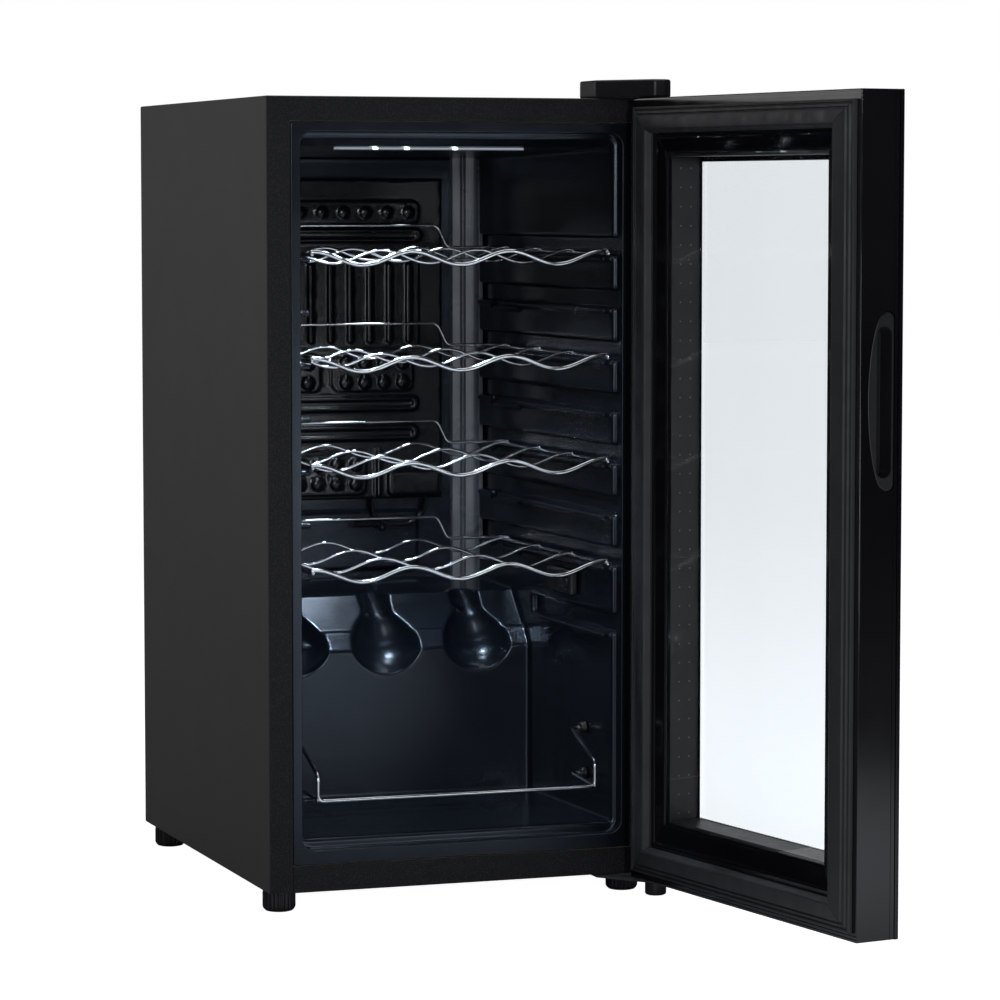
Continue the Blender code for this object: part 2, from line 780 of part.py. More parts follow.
def hung_door(root):
    hinge = bpy.data.objects.new("door_hinge", None)
    bpy.context.collection.objects.link(hinge)
    hinge.parent = root
    hinge.location = (HINGE_X * MM, HINGE_Y * MM, 0.0)
    hinge.rotation_euler = (0.0, 0.0, math.radians(OPEN_ANGLE))
    before = set(bpy.data.objects)
    door_frame(hinge)
    hinge_bushes(hinge)
    glazing(hinge)
    glazing_bead(hinge)
    gasket(hinge)
    grip_insert(hinge)
    display_module(hinge)
    for shape in set(bpy.data.objects) - before:
        shape.data.transform(Matrix.Translation((-HINGE_X * MM, -HINGE_Y * MM, 0.0)))


# ---------------------------------------------------------------- refrigeration

def condenser(root):
    """Serpentine tube on the back, carried on two upright strips."""
    turn = CONDENSER_PITCH / 2
    points = []
    for run in range(CONDENSER_RUNS):
        z = CONDENSER_LOW + run * CONDENSER_PITCH
        side = 1 if run % 2 == 0 else -1
        points.append((-side * (CONDENSER_HALF - turn), CONDENSER_Y, z))
        points.append((side * (CONDENSER_HALF - turn), CONDENSER_Y, z))
        if run == CONDENSER_RUNS - 1:
            break
        for k in range(1, 6):
            a = math.pi * k / 6
            x = side * (CONDENSER_HALF - turn + turn * math.sin(a))
            points.append((x, CONDENSER_Y, z + turn - turn * math.cos(a)))
    finish(wire(points, TUBE_RADIUS), "condenser_tube", "black_paint", root, smooth=True)
    top = CONDENSER_LOW + (CONDENSER_RUNS - 1) * CONDENSER_PITCH + 10
    for side, word in ((-1, "left"), (1, "right")):
        x = side * 100.0
        low = (x - 5, DEPTH + FIT, CONDENSER_LOW - 10)
        strip = box(low, (x + 5, CONDENSER_Y - TUBE_RADIUS - FIT, top))
        finish(strip, "condenser_bracket_%s" % word, "black_paint", root)


def compressor(root):
    low = COMPRESSOR_LOW
    high = COMPRESSOR_HIGH
    r = COMPRESSOR_RADIUS
    profile = [
        (0, low),
        (r * 0.62, low),
        (r * 0.9, low + 12),
        (r, low + 32),
        (r, low + 78),
        (r * 1.035, low + 79),
        (r * 1.035, low + 84),
        (r * 0.98, low + 85),
        (r * 0.92, high - 28),
        (r * 0.7, high - 10),
        (r * 0.38, high - 2),
        (0, high),
    ]
    pot = turned(profile, COMPRESSOR_X, COMPRESSOR_Y, 28)
    leg_low = (COMPRESSOR_X - 80, COMPRESSOR_Y - 45, low - 4)
    leg_high = (COMPRESSOR_X + 80, COMPRESSOR_Y + 45, low + 1)
    legs = box(leg_low, leg_high)
    joined(pot, legs)
    finish(pot, "compressor", "black_paint", root, smooth=True)
    number = 0
    for dx in (-70, 70):
        for dy in (-36, 36):
            number += 1
            x = COMPRESSOR_X + dx
            y = COMPRESSOR_Y + dy
            mount = cylinder((x, y, 2 + FIT), (x, y, low - 4 - FIT), 7.0, 14)
            finish(mount, "compressor_mount_%d" % number, "rubber", root, smooth=True)


def bay_fittings(root):
    relay = box((20, 306, 50), (46, 350, 104))
    finish(relay, "start_relay_box", "black_plastic", root)
    tray = box((-104, 272, 161), (24, 384, 178))
    cut(tray, box((-102.5, 273.5, 162.5), (22.5, 382.5, 185)))
    finish(tray, "drip_tray", "black_plastic", root)
    board = box((86, 250, 40), (156, 286, 140))
    finish(board, "control_board_box", "white_plastic", root)
    outline = [(0, 60), (3.2, 60), (3.2, 68), (9, 78), (9, 132), (3.2, 142), (3.2, 150), (0, 150)]
    drier = turned(outline, 96, 372, 16)
    finish(drier, "filter_drier", "copper", root, smooth=True)
    gland = joined(
        cylinder((130, 406.5, 34), (130, 414, 34), 8.5, 18),
        cylinder((130, 404, 34), (130, 418, 34), 5.2, 18),
    )
    cut(gland, cylinder((130, 395, 34), (130, 425, 34), 3.4, 14))
    finish(gland, "power_cord_gland", "black_plastic", root, smooth=True)
    plate = box((106, 404, 16.4), (156, 406, 62))
    cut(plate, cylinder((130, 398, 34), (130, 410, 34), 5.8, 18))
    finish(plate, "cord_bracket", "galvanised", root)


def pipework(root):
    start = (12.0, 356.0, 60.0)
    discharge = [start, (36, 368, 60), (36, 396, 66), (36, 424, 96)]
    discharge += [(-118, CONDENSER_Y, 140), (-150, CONDENSER_Y, 200)]
    discharge.append((-150, CONDENSER_Y, CONDENSER_LOW))
    discharge.append((-CONDENSER_HALF + CONDENSER_PITCH / 2 - 0.4, CONDENSER_Y, CONDENSER_LOW))
    finish(wire(bent(discharge, 7.0), TUBE_RADIUS), "discharge_line", "copper", root, smooth=True)
    suction = [(-104, 340, 96), (-140, 356, 96), (-150, 392, 110), (-150, 392, 182)]
    finish(wire(bent(suction, 9.0), 3.2), "suction_line", "copper", root, smooth=True)


# ---------------------------------------------------------------- assembly

def centre_on_floor(root):
    bpy.context.view_layer.update()
    low = Vector((1e9, 1e9, 1e9))
    high = -low
    for shape in bpy.data.objects:
        if shape.type != "MESH":
            continue
        for vertex in shape.data.vertices:
            point = shape.matrix_world @ vertex.co
            low = Vector(map(min, low, point))
            high = Vector(map(max, high, point))
    root.location = (-(low.x + high.x) / 2, -(low.y + high.y) / 2, -low.z)


def build():
    clear_scene()
    root = bpy.data.objects.new("cooler_frame", None)
    bpy.context.collection.objects.link(root)
    outer_shell(root)
    front_bottom_rail(root)
    base_pan(root)
    back_panel(root)
    bay_base(root)
    inner_liner(root)
    foam_insulation(root)
    evaporator(root)
    evaporator_tube(root)
    sensor_cover(root)
    lamp_lens(root)
    shelves(root)
    bottle_guard(root)
    levelling_feet(root)
    upper_hinge(root)
    hinge_cover(root)
    lower_hinge(root)
    hung_door(root)
    condenser(root)
    compressor(root)
    bay_fittings(root)
    pipework(root)
    centre_on_floor(root)


build()
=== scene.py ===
"""Looks of the wine cooler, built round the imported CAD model.

Lengths are in millimetres in the cabinet's own axes. Lights and floor are placed in metres.
"""
import json
import math

import bmesh
import bpy
from mathutils import Matrix, Vector


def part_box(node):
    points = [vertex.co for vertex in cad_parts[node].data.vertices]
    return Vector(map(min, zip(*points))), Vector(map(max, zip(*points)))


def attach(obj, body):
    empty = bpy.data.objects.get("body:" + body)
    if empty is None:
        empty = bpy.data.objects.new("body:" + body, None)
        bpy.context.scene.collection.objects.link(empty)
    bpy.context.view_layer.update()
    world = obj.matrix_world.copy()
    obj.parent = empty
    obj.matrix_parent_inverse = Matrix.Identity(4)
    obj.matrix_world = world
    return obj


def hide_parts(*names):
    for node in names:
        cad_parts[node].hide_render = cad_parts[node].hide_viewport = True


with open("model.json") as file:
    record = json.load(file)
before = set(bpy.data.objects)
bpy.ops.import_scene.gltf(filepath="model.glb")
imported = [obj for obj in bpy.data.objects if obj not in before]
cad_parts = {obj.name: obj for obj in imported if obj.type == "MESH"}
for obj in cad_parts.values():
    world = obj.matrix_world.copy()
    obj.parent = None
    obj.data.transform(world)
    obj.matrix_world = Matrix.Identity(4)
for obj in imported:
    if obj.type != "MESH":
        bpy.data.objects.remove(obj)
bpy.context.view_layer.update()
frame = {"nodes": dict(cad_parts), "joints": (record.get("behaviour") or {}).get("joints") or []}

MM = 0.001

# Cabinet
HALF = 172.5
DEPTH = 412.0
HEIGHT = 665.5
FLANGE = 20.5
SHEET = 1.2
RIM_HALF = 151.6
RIM_LOW = 22.7
RIM_HIGH = 644.7
MOUTH_HALF = 143.5
MOUTH_LOW = 34.8
MOUTH_HIGH = 636.5
FLOOR_Z = 43.5
CEILING_FRONT = 624.5
CEILING_REAR = 618.5
CAVITY_REAR = 353.0
HUMP_FACE = 209.0
HUMP_SHOULDER = 176.5
HUMP_CREST_Y = 252.0
HUMP_TOP = 223.0
LEDGES = [532.0, 487.5, 443.0, 398.5, 354.0, 310.0, 266.0, 208.0]
SHELF_LEVELS = [534.2, 445.2, 356.2, 268.2]
LED_SPOTS = (-67.0, -39.0, 4.0)
FOOT_X = 155.5
BACK_HALF = 171.0
EVAPORATOR_FACE = 341.0
POT_X = -40.0
POT_Y = 328.0
POT_RADIUS = 56.0

# Bottle rests: (y, z) of the shoulder's centre and of the crest, then lengths along the bottle
REST_SPOTS = (-86.5, 0.0, 86.5)
REST_CENTRE = (203.0, 189.0)
REST_CREST = (249.4, 225.4)
REST_RADIUS = 34.0
REST_BALL_END = 18.0
REST_FLARE = 26.0
REST_FLARE_RADIUS = 28.8
REST_TAPER = 14.3
REST_NECK_RADIUS = 14.5
REST_NECK_END = 94.0

# Wire goods
SHELF_HALF = 132.3
RAIL_RADIUS = 1.9
WAVE_RADIUS = 1.4
FRONT_WAVE_RADIUS = 2.0
GUARD_HALF = 125.0
GUARD_Y = 71.0
GUARD_LEVELS = {"upper": 118.0, "lower": 78.0}
GUARD_RADIUS = 1.8
STAY_RADIUS = 1.6
COIL_HALF = 122.0
COIL_Y = 424.5
COIL_TURN = 18.0
COIL_RUNS = 10

# Door, in its closed place
DOOR_HALF = 172.6
DOOR_LOW = 0.4
DOOR_HIGH = 665.2
DOOR_INNER = -8.5
DOOR_FRONT = -44.3
HINGE_X = 164.0
HINGE_Y = -28.5
OPEN_ANGLE = 99.0
WINDOW_HALF = 115.7
WINDOW_LOW = 57.0
WINDOW_HIGH = 611.5
GRIP_LOW = 353.4
GRIP_HIGH = 493.6
BEAD_ROWS = (-25.0, -35.0)
DISPLAY_DEPTHS = (-48.66, -48.58)
KEY_SPOTS = (-34.0, -22.0, 22.0, 34.0)
KEY_Z = 644.0

# Camera, and the colour of the cabinet's own lamps
CAMERA_PLACE = (-1082.86, -3104.06, 579.74)
CAMERA_LENS = 140.47
CAMERA_DOWN = 4.40
CAMERA_TURN = -19.76
COLD_LIGHT = (0.72, 0.85, 1.0)

shell_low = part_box("outer_shell")[0]
ORIGIN = Vector((shell_low.x + HALF * MM, shell_low.y, shell_low.z))
door_joint = next(j for j in frame["joints"] if j["name"] == "door_hinge")
CABINET = Matrix.Translation(ORIGIN) @ Matrix.Scale(MM, 4)
DOOR = (
    Matrix.Translation((door_joint["pos_m"][0], door_joint["pos_m"][1], ORIGIN.z))
    @ Matrix.Rotation(math.radians(OPEN_ANGLE), 4, "Z")
    @ Matrix.Scale(MM, 4)
    @ Matrix.Translation((-HINGE_X, -HINGE_Y, 0.0))
)


# -------- meshes

def linked(name, data):
    shape = bpy.data.objects.new(name, data)
    bpy.context.scene.collection.objects.link(shape)
    return shape


def object_from(bm, name="shape"):
    bmesh.ops.recalc_face_normals(bm, faces=bm.faces)
    mesh = bpy.data.meshes.new(name)
    bm.to_mesh(mesh)
    bm.free()
    return linked(name, mesh)


def box(low, high):
    bm = bmesh.new()
    size = [high[i] - low[i] for i in range(3)]
    middle = [(high[i] + low[i]) / 2 for i in range(3)]
    matrix = Matrix.Translation(middle) @ Matrix.Diagonal((*size, 1.0))
    bmesh.ops.create_cube(bm, size=1.0, matrix=matrix)
    return object_from(bm)


def extruded(outline, axis, low, high):
    """A flat outline (in the two axes that follow the given one) carried from low to high."""
    bm = bmesh.new()
    ends = []
    for level in (low, high):
        row = []
        for u, v in outline:
            point = [0.0, 0.0, 0.0]
            point[axis] = level
            point[(axis + 1) % 3] = u
            point[(axis + 2) % 3] = v
            row.append(bm.verts.new(point))
        ends.append(row)
    bm.faces.new(ends[0])
    bm.faces.new(ends[1])
    for i in range(len(outline)):
        j = (i + 1) % len(outline)
        bm.faces.new((ends[0][i], ends[0][j], ends[1][j], ends[1][i]))
    return object_from(bm)


def rounded_outline(low, high, radius, steps=6):
    """A rectangle with round corners, as (u, v) points."""
    points = []
    centres = [
        (high[0] - radius, high[1] - radius, 0),
        (low[0] + radius, high[1] - radius, 90),
        (low[0] + radius, low[1] + radius, 180),
        (high[0] - radius, low[1] + radius, 270),
    ]
    for cx, cy, start in centres:
        for k in range(steps + 1):
            a = math.radians(start + 90.0 * k / steps)
            points.append((cx + radius * math.cos(a), cy + radius * math.sin(a)))
    return points


def tapered(outline, half_width):
    bm = bmesh.new()
    left = [bm.verts.new((-half_width(y), y, z)) for y, z in outline]
    right = [bm.verts.new((half_width(y), y, z)) for y, z in outline]
    bm.faces.new(left)
    bm.faces.new(right)
    for i in range(len(outline)):
        j = (i + 1) % len(outline)
        bm.faces.new((left[i], left[j], right[j], right[i]))
    return object_from(bm)


def cylinder(start, end, radius, sides=32, end_radius=None):
    start = Vector(start)
    end = Vector(end)
    along = end - start
    turn = along.to_track_quat("Z", "Y").to_matrix().to_4x4()
    bm = bmesh.new()
    bmesh.ops.create_cone(
        bm,
        cap_ends=True,
        segments=sides,
        radius1=radius,
        radius2=radius if end_radius is None else end_radius,
        depth=along.length,
        matrix=Matrix.Translation((start + end) / 2) @ turn,
    )
    return object_from(bm)


def ball(centre, radius, segments=32, rings=20, squash=1.0):
    bm = bmesh.new()
    place = Matrix.Translation(centre) @ Matrix.Diagonal((1.0, squash, 1.0, 1.0))
    bmesh.ops.create_uvsphere(
        bm, u_segments=segments, v_segments=rings, radius=radius, matrix=place,
    )
    return object_from(bm)


def turned(profile, x, y, steps=48, ribs=0, rib_depth=0.0):
    """A solid turned about a vertical axis; profile rows are (radius, height, ribbed share)."""
    bm = bmesh.new()
    rings = []
    for radius, z, ribbed in profile:
        if radius == 0:
            rings.append([bm.verts.new((x, y, z))])
            continue
        row = []
        for k in range(steps):
            a = 2 * math.pi * k / steps
            wave = 0.5 - 0.5 * math.cos(a * ribs) if ribs else 0.0
            r = radius - ribbed * rib_depth * wave
            row.append(bm.verts.new((x + r * math.cos(a), y + r * math.sin(a), z)))
        rings.append(row)
    for lower, upper in zip(rings, rings[1:]):
        for k in range(steps):
            n = (k + 1) % steps
            corners = [
                lower[k % len(lower)], lower[n % len(lower)],
                upper[n % len(upper)], upper[k % len(upper)],
            ]
            bm.faces.new(list(dict.fromkeys(corners)))
    return object_from(bm)


def evaluated_mesh(shape):
    graph = bpy.context.evaluated_depsgraph_get()
    return bpy.data.meshes.new_from_object(shape.evaluated_get(graph))


def settled(shape):
    mesh = evaluated_mesh(shape)
    shape.modifiers.clear()
    shape.data = mesh
    return shape


def combined(base, others, operation):
    for other in others:
        step = base.modifiers.new("step", "BOOLEAN")
        step.operation = operation
        step.solver = "EXACT"
        step.object = other
        settled(base)
        bpy.data.objects.remove(other)
    return base


def cut(base, *cutters):
    return combined(base, cutters, "DIFFERENCE")


def fused(base, *others):
    return combined(base, others, "UNION")


def merged(*shapes):
    """Puts several meshes into one object without a boolean."""
    bm = bmesh.new()
    for shape in shapes:
        bm.from_mesh(shape.data)
        bpy.data.objects.remove(shape)
    mesh = bpy.data.meshes.new("merged")
    bm.to_mesh(mesh)
    bm.free()
    return linked("merged", mesh)


def bevelled(shape, width, segments, angle):
    edge = shape.modifiers.new("edge", "BEVEL")
    edge.width = width
    edge.segments = segments
    edge.limit_method = "ANGLE"
    edge.angle_limit = math.radians(angle)
    return shape


def softened(shape, width, segments=2, angle=35.0):
    return settled(bevelled(shape, width, segments, angle))


def rod(points, radius, resolution=3, cyclic=False):
    """A round wire through the points."""
    curve = bpy.data.curves.new("rod", "CURVE")
    curve.dimensions = "3D"
    curve.bevel_depth = radius
    curve.bevel_resolution = resolution
    curve.use_fill_caps = True
    spline = curve.splines.new("POLY")
    spline.points.add(len(points) - 1)
    spline.use_cyclic_u = cyclic
    for slot, point in zip(spline.points, points):
        slot.co = (point[0], point[1], point[2], 1.0)
    carrier = linked("rod", curve)
    mesh = evaluated_mesh(carrier)
    bpy.data.objects.remove(carrier)
    bm = bmesh.new()
    bm.from_mesh(mesh)
    bmesh.ops.remove_doubles(bm, verts=bm.verts, dist=0.001)
    return object_from(bm)


def bent(points, radius, steps=8):
    """The same route with each corner replaced by a short arc."""
    route = [Vector(points[0])]
    for before, corner, after in zip(points, points[1:], points[2:]):
        corner = Vector(corner)
        start = corner + (Vector(before) - corner).normalized() * radius
        end = corner + (Vector(after) - corner).normalized() * radius
        for k in range(steps + 1):
            t = k / steps
            route.append(start.lerp(corner, t).lerp(corner.lerp(end, t), t))
    route.append(Vector(points[-1]))
    return route


def swept_frame(low, high, widths, profile):
    """A ring with mitred corners. The profile holds (share of the width inwards, y) points."""
    bm = bmesh.new()
    rings = []
    for share, y in profile:
        side, bottom, top = (w * share for w in widths)
        corners = [
            (low[0] + side, low[1] + bottom),
            (high[0] - side, low[1] + bottom),
            (high[0] - side, high[1] - top),
            (low[0] + side, high[1] - top),
        ]
        rings.append([bm.verts.new((x, y, z)) for x, z in corners])
    for inner, outer in zip(rings, rings[1:] + rings[:1]):
        for k in range(4):
            n = (k + 1) % 4
            bm.faces.new((inner[k], inner[n], outer[n], outer[k]))
    return object_from(bm)


# -------- materials

def principled(made):
    return made.node_tree.nodes["Principled BSDF"]


def settings(node, values):
    for name, value in values.items():
        node.inputs[name].default_value = value


def maths(tree, operation, *values):
    """The result of a math node; each value is a number or another node's output."""
    node = tree.nodes.new("ShaderNodeMath")
    node.operation = operation
    for value, socket in zip(values, node.inputs):
        if isinstance(value, float):
            socket.default_value = value
        else:
            tree.links.new(value, socket)
    return node.outputs[0]


def remapped(tree, value, start, end, low=0.0, high=1.0, kind="LINEAR"):
    """Low where the value is at the start, high where it is at the end."""
    node = tree.nodes.new("ShaderNodeMapRange")
    node.interpolation_type = kind
    settings(node, {"From Min": start, "From Max": end, "To Min": low, "To Max": high})
    tree.links.new(value, node.inputs["Value"])
    return node.outputs["Result"]


def surface(name, colour, rough, metallic=0.0, tint=None, patch=40.0, rough_to=None, grain=0.0,
            grain_size=2500.0, ripple=0.0, ripple_size=60.0, wear=None, coat=0.0, specular=0.5,
            speckle=0.0):
    """A procedural finish: patches of colour and roughness, grain, ripple, specks, worn edges."""
    made = bpy.data.materials.new(name)
    made.use_nodes = True
    tree = made.node_tree
    nodes = tree.nodes
    links = tree.links
    shader = principled(made)
    settings(shader, {"Metallic": metallic, "Specular IOR Level": specular})
    settings(shader, {"Coat Weight": coat, "Coat Roughness": 0.05})
    where = nodes.new("ShaderNodeTexCoord").outputs["Object"]

    def noise(scale, detail=3.0):
        texture = nodes.new("ShaderNodeTexNoise")
        settings(texture, {"Scale": scale, "Detail": detail})
        links.new(where, texture.inputs["Vector"])
        return texture.outputs["Fac"]

    def spread(source, low, high, from_low=0.3, from_high=0.7):
        return remapped(tree, source, from_low, from_high, low, high)

    def mixed(share, first, second):
        mix = nodes.new("ShaderNodeMix")
        mix.data_type = "RGBA"
        links.new(share, mix.inputs[0])
        colour_a, colour_b, blend = mix.inputs[6], mix.inputs[7], mix.outputs[2]
        for value, socket in ((first, colour_a), (second, colour_b)):
            if isinstance(value, tuple):
                socket.default_value = (*value, 1.0)
            else:
                links.new(value, socket)
        return blend

    second = tint or tuple(c * 1.35 for c in colour)
    paint = mixed(spread(noise(patch), 0.0, 1.0), colour, second)
    if speckle:
        light = tuple(min(1.0, c * (1.0 + speckle) + 0.004 * speckle) for c in colour)
        specks = noise(grain_size * 0.7, 2.0)
        paint = mixed(spread(specks, 0.0, 1.0, 0.52, 0.66), paint, light)
    if wear:
        edges = nodes.new("ShaderNodeNewGeometry").outputs["Pointiness"]
        paint = mixed(spread(edges, 0.0, 0.8, 0.515, 0.56), paint, wear)
    links.new(paint, shader.inputs["Base Color"])
    top = rough * 1.25 if rough_to is None else rough_to
    links.new(spread(noise(patch * 2.3, 5.0), rough, top), shader.inputs["Roughness"])
    normal = None
    for height, size, detail in ((ripple, ripple_size, 1.0), (grain, grain_size, 2.0)):
        if not height:
            continue
        bump = nodes.new("ShaderNodeBump")
        settings(bump, {"Strength": 1.0, "Distance": height})
        links.new(noise(size, detail), bump.inputs["Height"])
        if normal:
            links.new(normal, bump.inputs["Normal"])
        normal = bump.outputs["Normal"]
    if normal:
        links.new(normal, shader.inputs["Normal"])
    return made


def glass(name, colour):
    tint = tuple(c * 0.992 for c in colour)
    made = surface(name, colour, 0.0, rough_to=0.0, tint=tint, patch=9.0)
    settings(principled(made), {"Transmission Weight": 1.0, "IOR": 1.33})
    return made


def lamp_glow_and_painted_highlight():
    """A frosted lens that glows at each lamp, with a painted highlight: a thin emissive line near
    its top edge, lit also between the lamps, that stands in for the bright ceiling crease.
    """
    made = surface("lens_lamps_and_painted_highlight", (0.05, 0.055, 0.06), 0.3, grain=0.00002, patch=90.0)
    tree = made.node_tree
    split = tree.nodes.new("ShaderNodeSeparateXYZ")
    tree.links.new(tree.nodes.new("ShaderNodeTexCoord").outputs["Object"], split.inputs[0])
    total = None
    for x in LED_SPOTS:
        offset = maths(tree, "SUBTRACT", split.outputs["X"], ORIGIN.x + x * MM)
        away = maths(tree, "ABSOLUTE", offset)
        peak = remapped(tree, away, 0.0032, 0.0, 0.0, 9.0, "SMOOTHSTEP")
        total = peak if total is None else maths(tree, "ADD", total, peak)
    # The 0.35 added here keeps the thin line glowing between the lamps. That part is a painted
    # highlight of the ceiling crease, not lamp light. The peaks over each lamp are the lamps' own
    # glow.
    base = maths(tree, "ADD", total, 0.35)
    height = maths(tree, "SUBTRACT", split.outputs["Z"], ORIGIN.z + 623.0 * MM)
    line = remapped(tree, maths(tree, "ABSOLUTE", height), 0.0014, 0.0004)
    shader = principled(made)
    tree.links.new(maths(tree, "MULTIPLY", base, line), shader.inputs["Emission Strength"])
    settings(shader, {"Emission Color": (0.75, 0.87, 1.0, 1.0)})
    return made


CHARCOAL = surface(
    "charcoal_powder_coat", (0.048, 0.048, 0.0485), 0.56, patch=9.0, tint=(0.050, 0.050, 0.0505),
    rough_to=0.59, grain=0.00006, grain_size=2600.0,
)
FLANGE_BLACK = surface(
    "speckled_black_paint", (0.0075, 0.0075, 0.0080), 0.42, patch=30.0, rough_to=0.48, grain=0.0003,
    grain_size=1400.0, speckle=2.2, specular=0.2,
)
LINER_BLACK = surface(
    "moulded_liner_black", (0.0045, 0.0062, 0.0095), 0.21, patch=18.0,
    tint=(0.0055, 0.0075, 0.0115), rough_to=0.27, grain=0.00002, grain_size=1500.0, ripple=0.0003,
    ripple_size=14.0, specular=0.55,
)
settings(principled(LINER_BLACK), {"Specular Tint": (0.72, 0.84, 1.0, 1.0)})
DUCT_SATIN = surface(
    "satin_duct", (0.075, 0.084, 0.098), 0.26, patch=18.0, rough_to=0.32, grain=0.00002,
    grain_size=1500.0,
)
GLOSS_BLACK = surface(
    "polished_black", (0.004, 0.004, 0.0045), 0.07, patch=20.0, rough_to=0.12, ripple=0.0003,
    ripple_size=14.0, coat=0.4,
)
EVAPORATOR_BLACK = surface(
    "evaporator_gloss", (0.003, 0.0036, 0.0048), 0.13, patch=60.0, rough_to=0.22, grain=0.00004,
    grain_size=700.0,
)
PLASTIC = surface(
    "satin_black_plastic", (0.010, 0.010, 0.011), 0.34, patch=60.0, rough_to=0.45, grain=0.00006,
    grain_size=2200.0, wear=(0.018, 0.018, 0.019),
)
RUBBER = surface(
    "gasket_rubber", (0.026, 0.0265, 0.028), 0.40, patch=30.0, rough_to=0.58, grain=0.00005,
    grain_size=1400.0,
)
CHROME = surface(
    "bright_chrome", (0.78, 0.80, 0.84), 0.06, metallic=1.0, patch=120.0, tint=(0.70, 0.72, 0.77),
    rough_to=0.16, grain=0.00001, grain_size=900.0,
)
ZINC = surface(
    "zinc_sheet", (0.42, 0.43, 0.44), 0.38, metallic=1.0, patch=45.0, tint=(0.30, 0.31, 0.33),
    rough_to=0.55, grain=0.00005, grain_size=500.0,
)
BLACK_PAINT = surface(
    "satin_black_enamel", (0.010, 0.010, 0.0105), 0.32, patch=40.0, rough_to=0.45, grain=0.00008,
    grain_size=900.0, wear=(0.05, 0.05, 0.05),
)
COPPER = surface(
    "drawn_copper", (0.62, 0.28, 0.15), 0.28, metallic=1.0, patch=60.0, tint=(0.36, 0.15, 0.09),
    rough_to=0.45, grain=0.00003, grain_size=400.0,
)
SPACER = surface(
    "spacer_black_aluminium", (0.010, 0.010, 0.010), 0.42, metallic=0.3, patch=50.0, grain=0.00004,
    grain_size=900.0,
)
DESICCANT = surface(
    "desiccant_beads", (0.10, 0.10, 0.105), 0.5, patch=300.0, grain=0.00004, grain_size=1500.0,
)
WHITE = surface(
    "off_white_plastic", (0.62, 0.62, 0.60), 0.45, patch=40.0, tint=(0.56, 0.56, 0.53),
    grain=0.00005, grain_size=1500.0,
)
FOAM = surface("rigid_foam", (0.72, 0.62, 0.36), 0.9, patch=35.0, grain=0.0003, grain_size=500.0)
FRIT = surface("glass_frit", (0.003, 0.003, 0.0034), 0.16, patch=30.0, rough_to=0.24, grain=0.00001)
GLASS = glass("window_glass", (0.945, 0.972, 0.990))
LAMP_GLOW_AND_PAINTED_HIGHLIGHT = lamp_glow_and_painted_highlight()
DIGIT = surface("display_light", (0.5, 0.75, 1.0), 0.3, patch=200.0)
settings(principled(DIGIT), {"Emission Color": (0.35, 0.7, 1.0, 1.0), "Emission Strength": 1.6})


def evened(shape):
    shape.modifiers.new("even_normals", "WEIGHTED_NORMAL").keep_sharp = True


def placed(shape, name, body, look, replaces=(), angle=32.0, matrix=None, weighted=True):
    """Moves a finished mesh from cabinet millimetres into the shared frame and onto its body."""
    shape.name = name
    shape.data.name = name
    shape.data.transform(matrix or (DOOR if body == "door" else CABINET))
    shape.data.materials.clear()
    shape.data.materials.append(look)
    shape.data.polygons.foreach_set("material_index", [0] * len(shape.data.polygons))
    shape.data.shade_smooth()
    shape.data.set_sharp_from_angle(angle=math.radians(angle))
    if weighted:
        evened(shape)
    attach(shape, body)
    if replaces:
        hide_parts(*replaces)
    return shape


def dressed(node, look, width=0.0):
    """Gives a CAD node its finish, and small rounded edges if a width is given."""
    shape = frame["nodes"][node]
    shape.data.materials.clear()
    shape.data.materials.append(look)
    if width:
        evened(bevelled(shape, width * MM, 2, 35.0))


# -------- cabinet

def wall_half(y):
    """Half the width of the storage space, which narrows towards the back."""
    return 139.2 - 0.0195 * y


def cabinet_shell():
    shell = box((-HALF, 0.0, 0.0), (HALF, DEPTH, HEIGHT))
    shell = softened(shell, 1.3, 3)
    inside = box((-HALF + SHEET, SHEET, -5.0), (HALF - SHEET, DEPTH + 5.0, HEIGHT - SHEET))
    front = box((-HALF + FLANGE, -5.0, -5.0), (HALF - FLANGE, SHEET + 5.0, HEIGHT - FLANGE))
    cut(shell, inside, front)
    w = 0.35
    for side in (-1, 1):
        x0, z0 = side * (HALF + 0.5), HEIGHT + 0.5
        x1, z1 = side * (HALF - FLANGE - 0.5), HEIGHT - FLANGE - 0.5
        seam = [(z0 + w, x0), (z0 - w, x0), (z1 - w, x1), (z1 + w, x1)]
        cut(shell, extruded(seam, 1, -1.0, 0.5))
    painted = placed(shell, "cabinet_shell", "cabinet", CHARCOAL, ["outer_shell"])
    painted.data.materials.append(FLANGE_BLACK)
    for face in painted.data.polygons:
        centre = face.center
        if face.normal.y < -0.75 and centre.y < ORIGIN.y + 0.002:
            face.material_index = 1


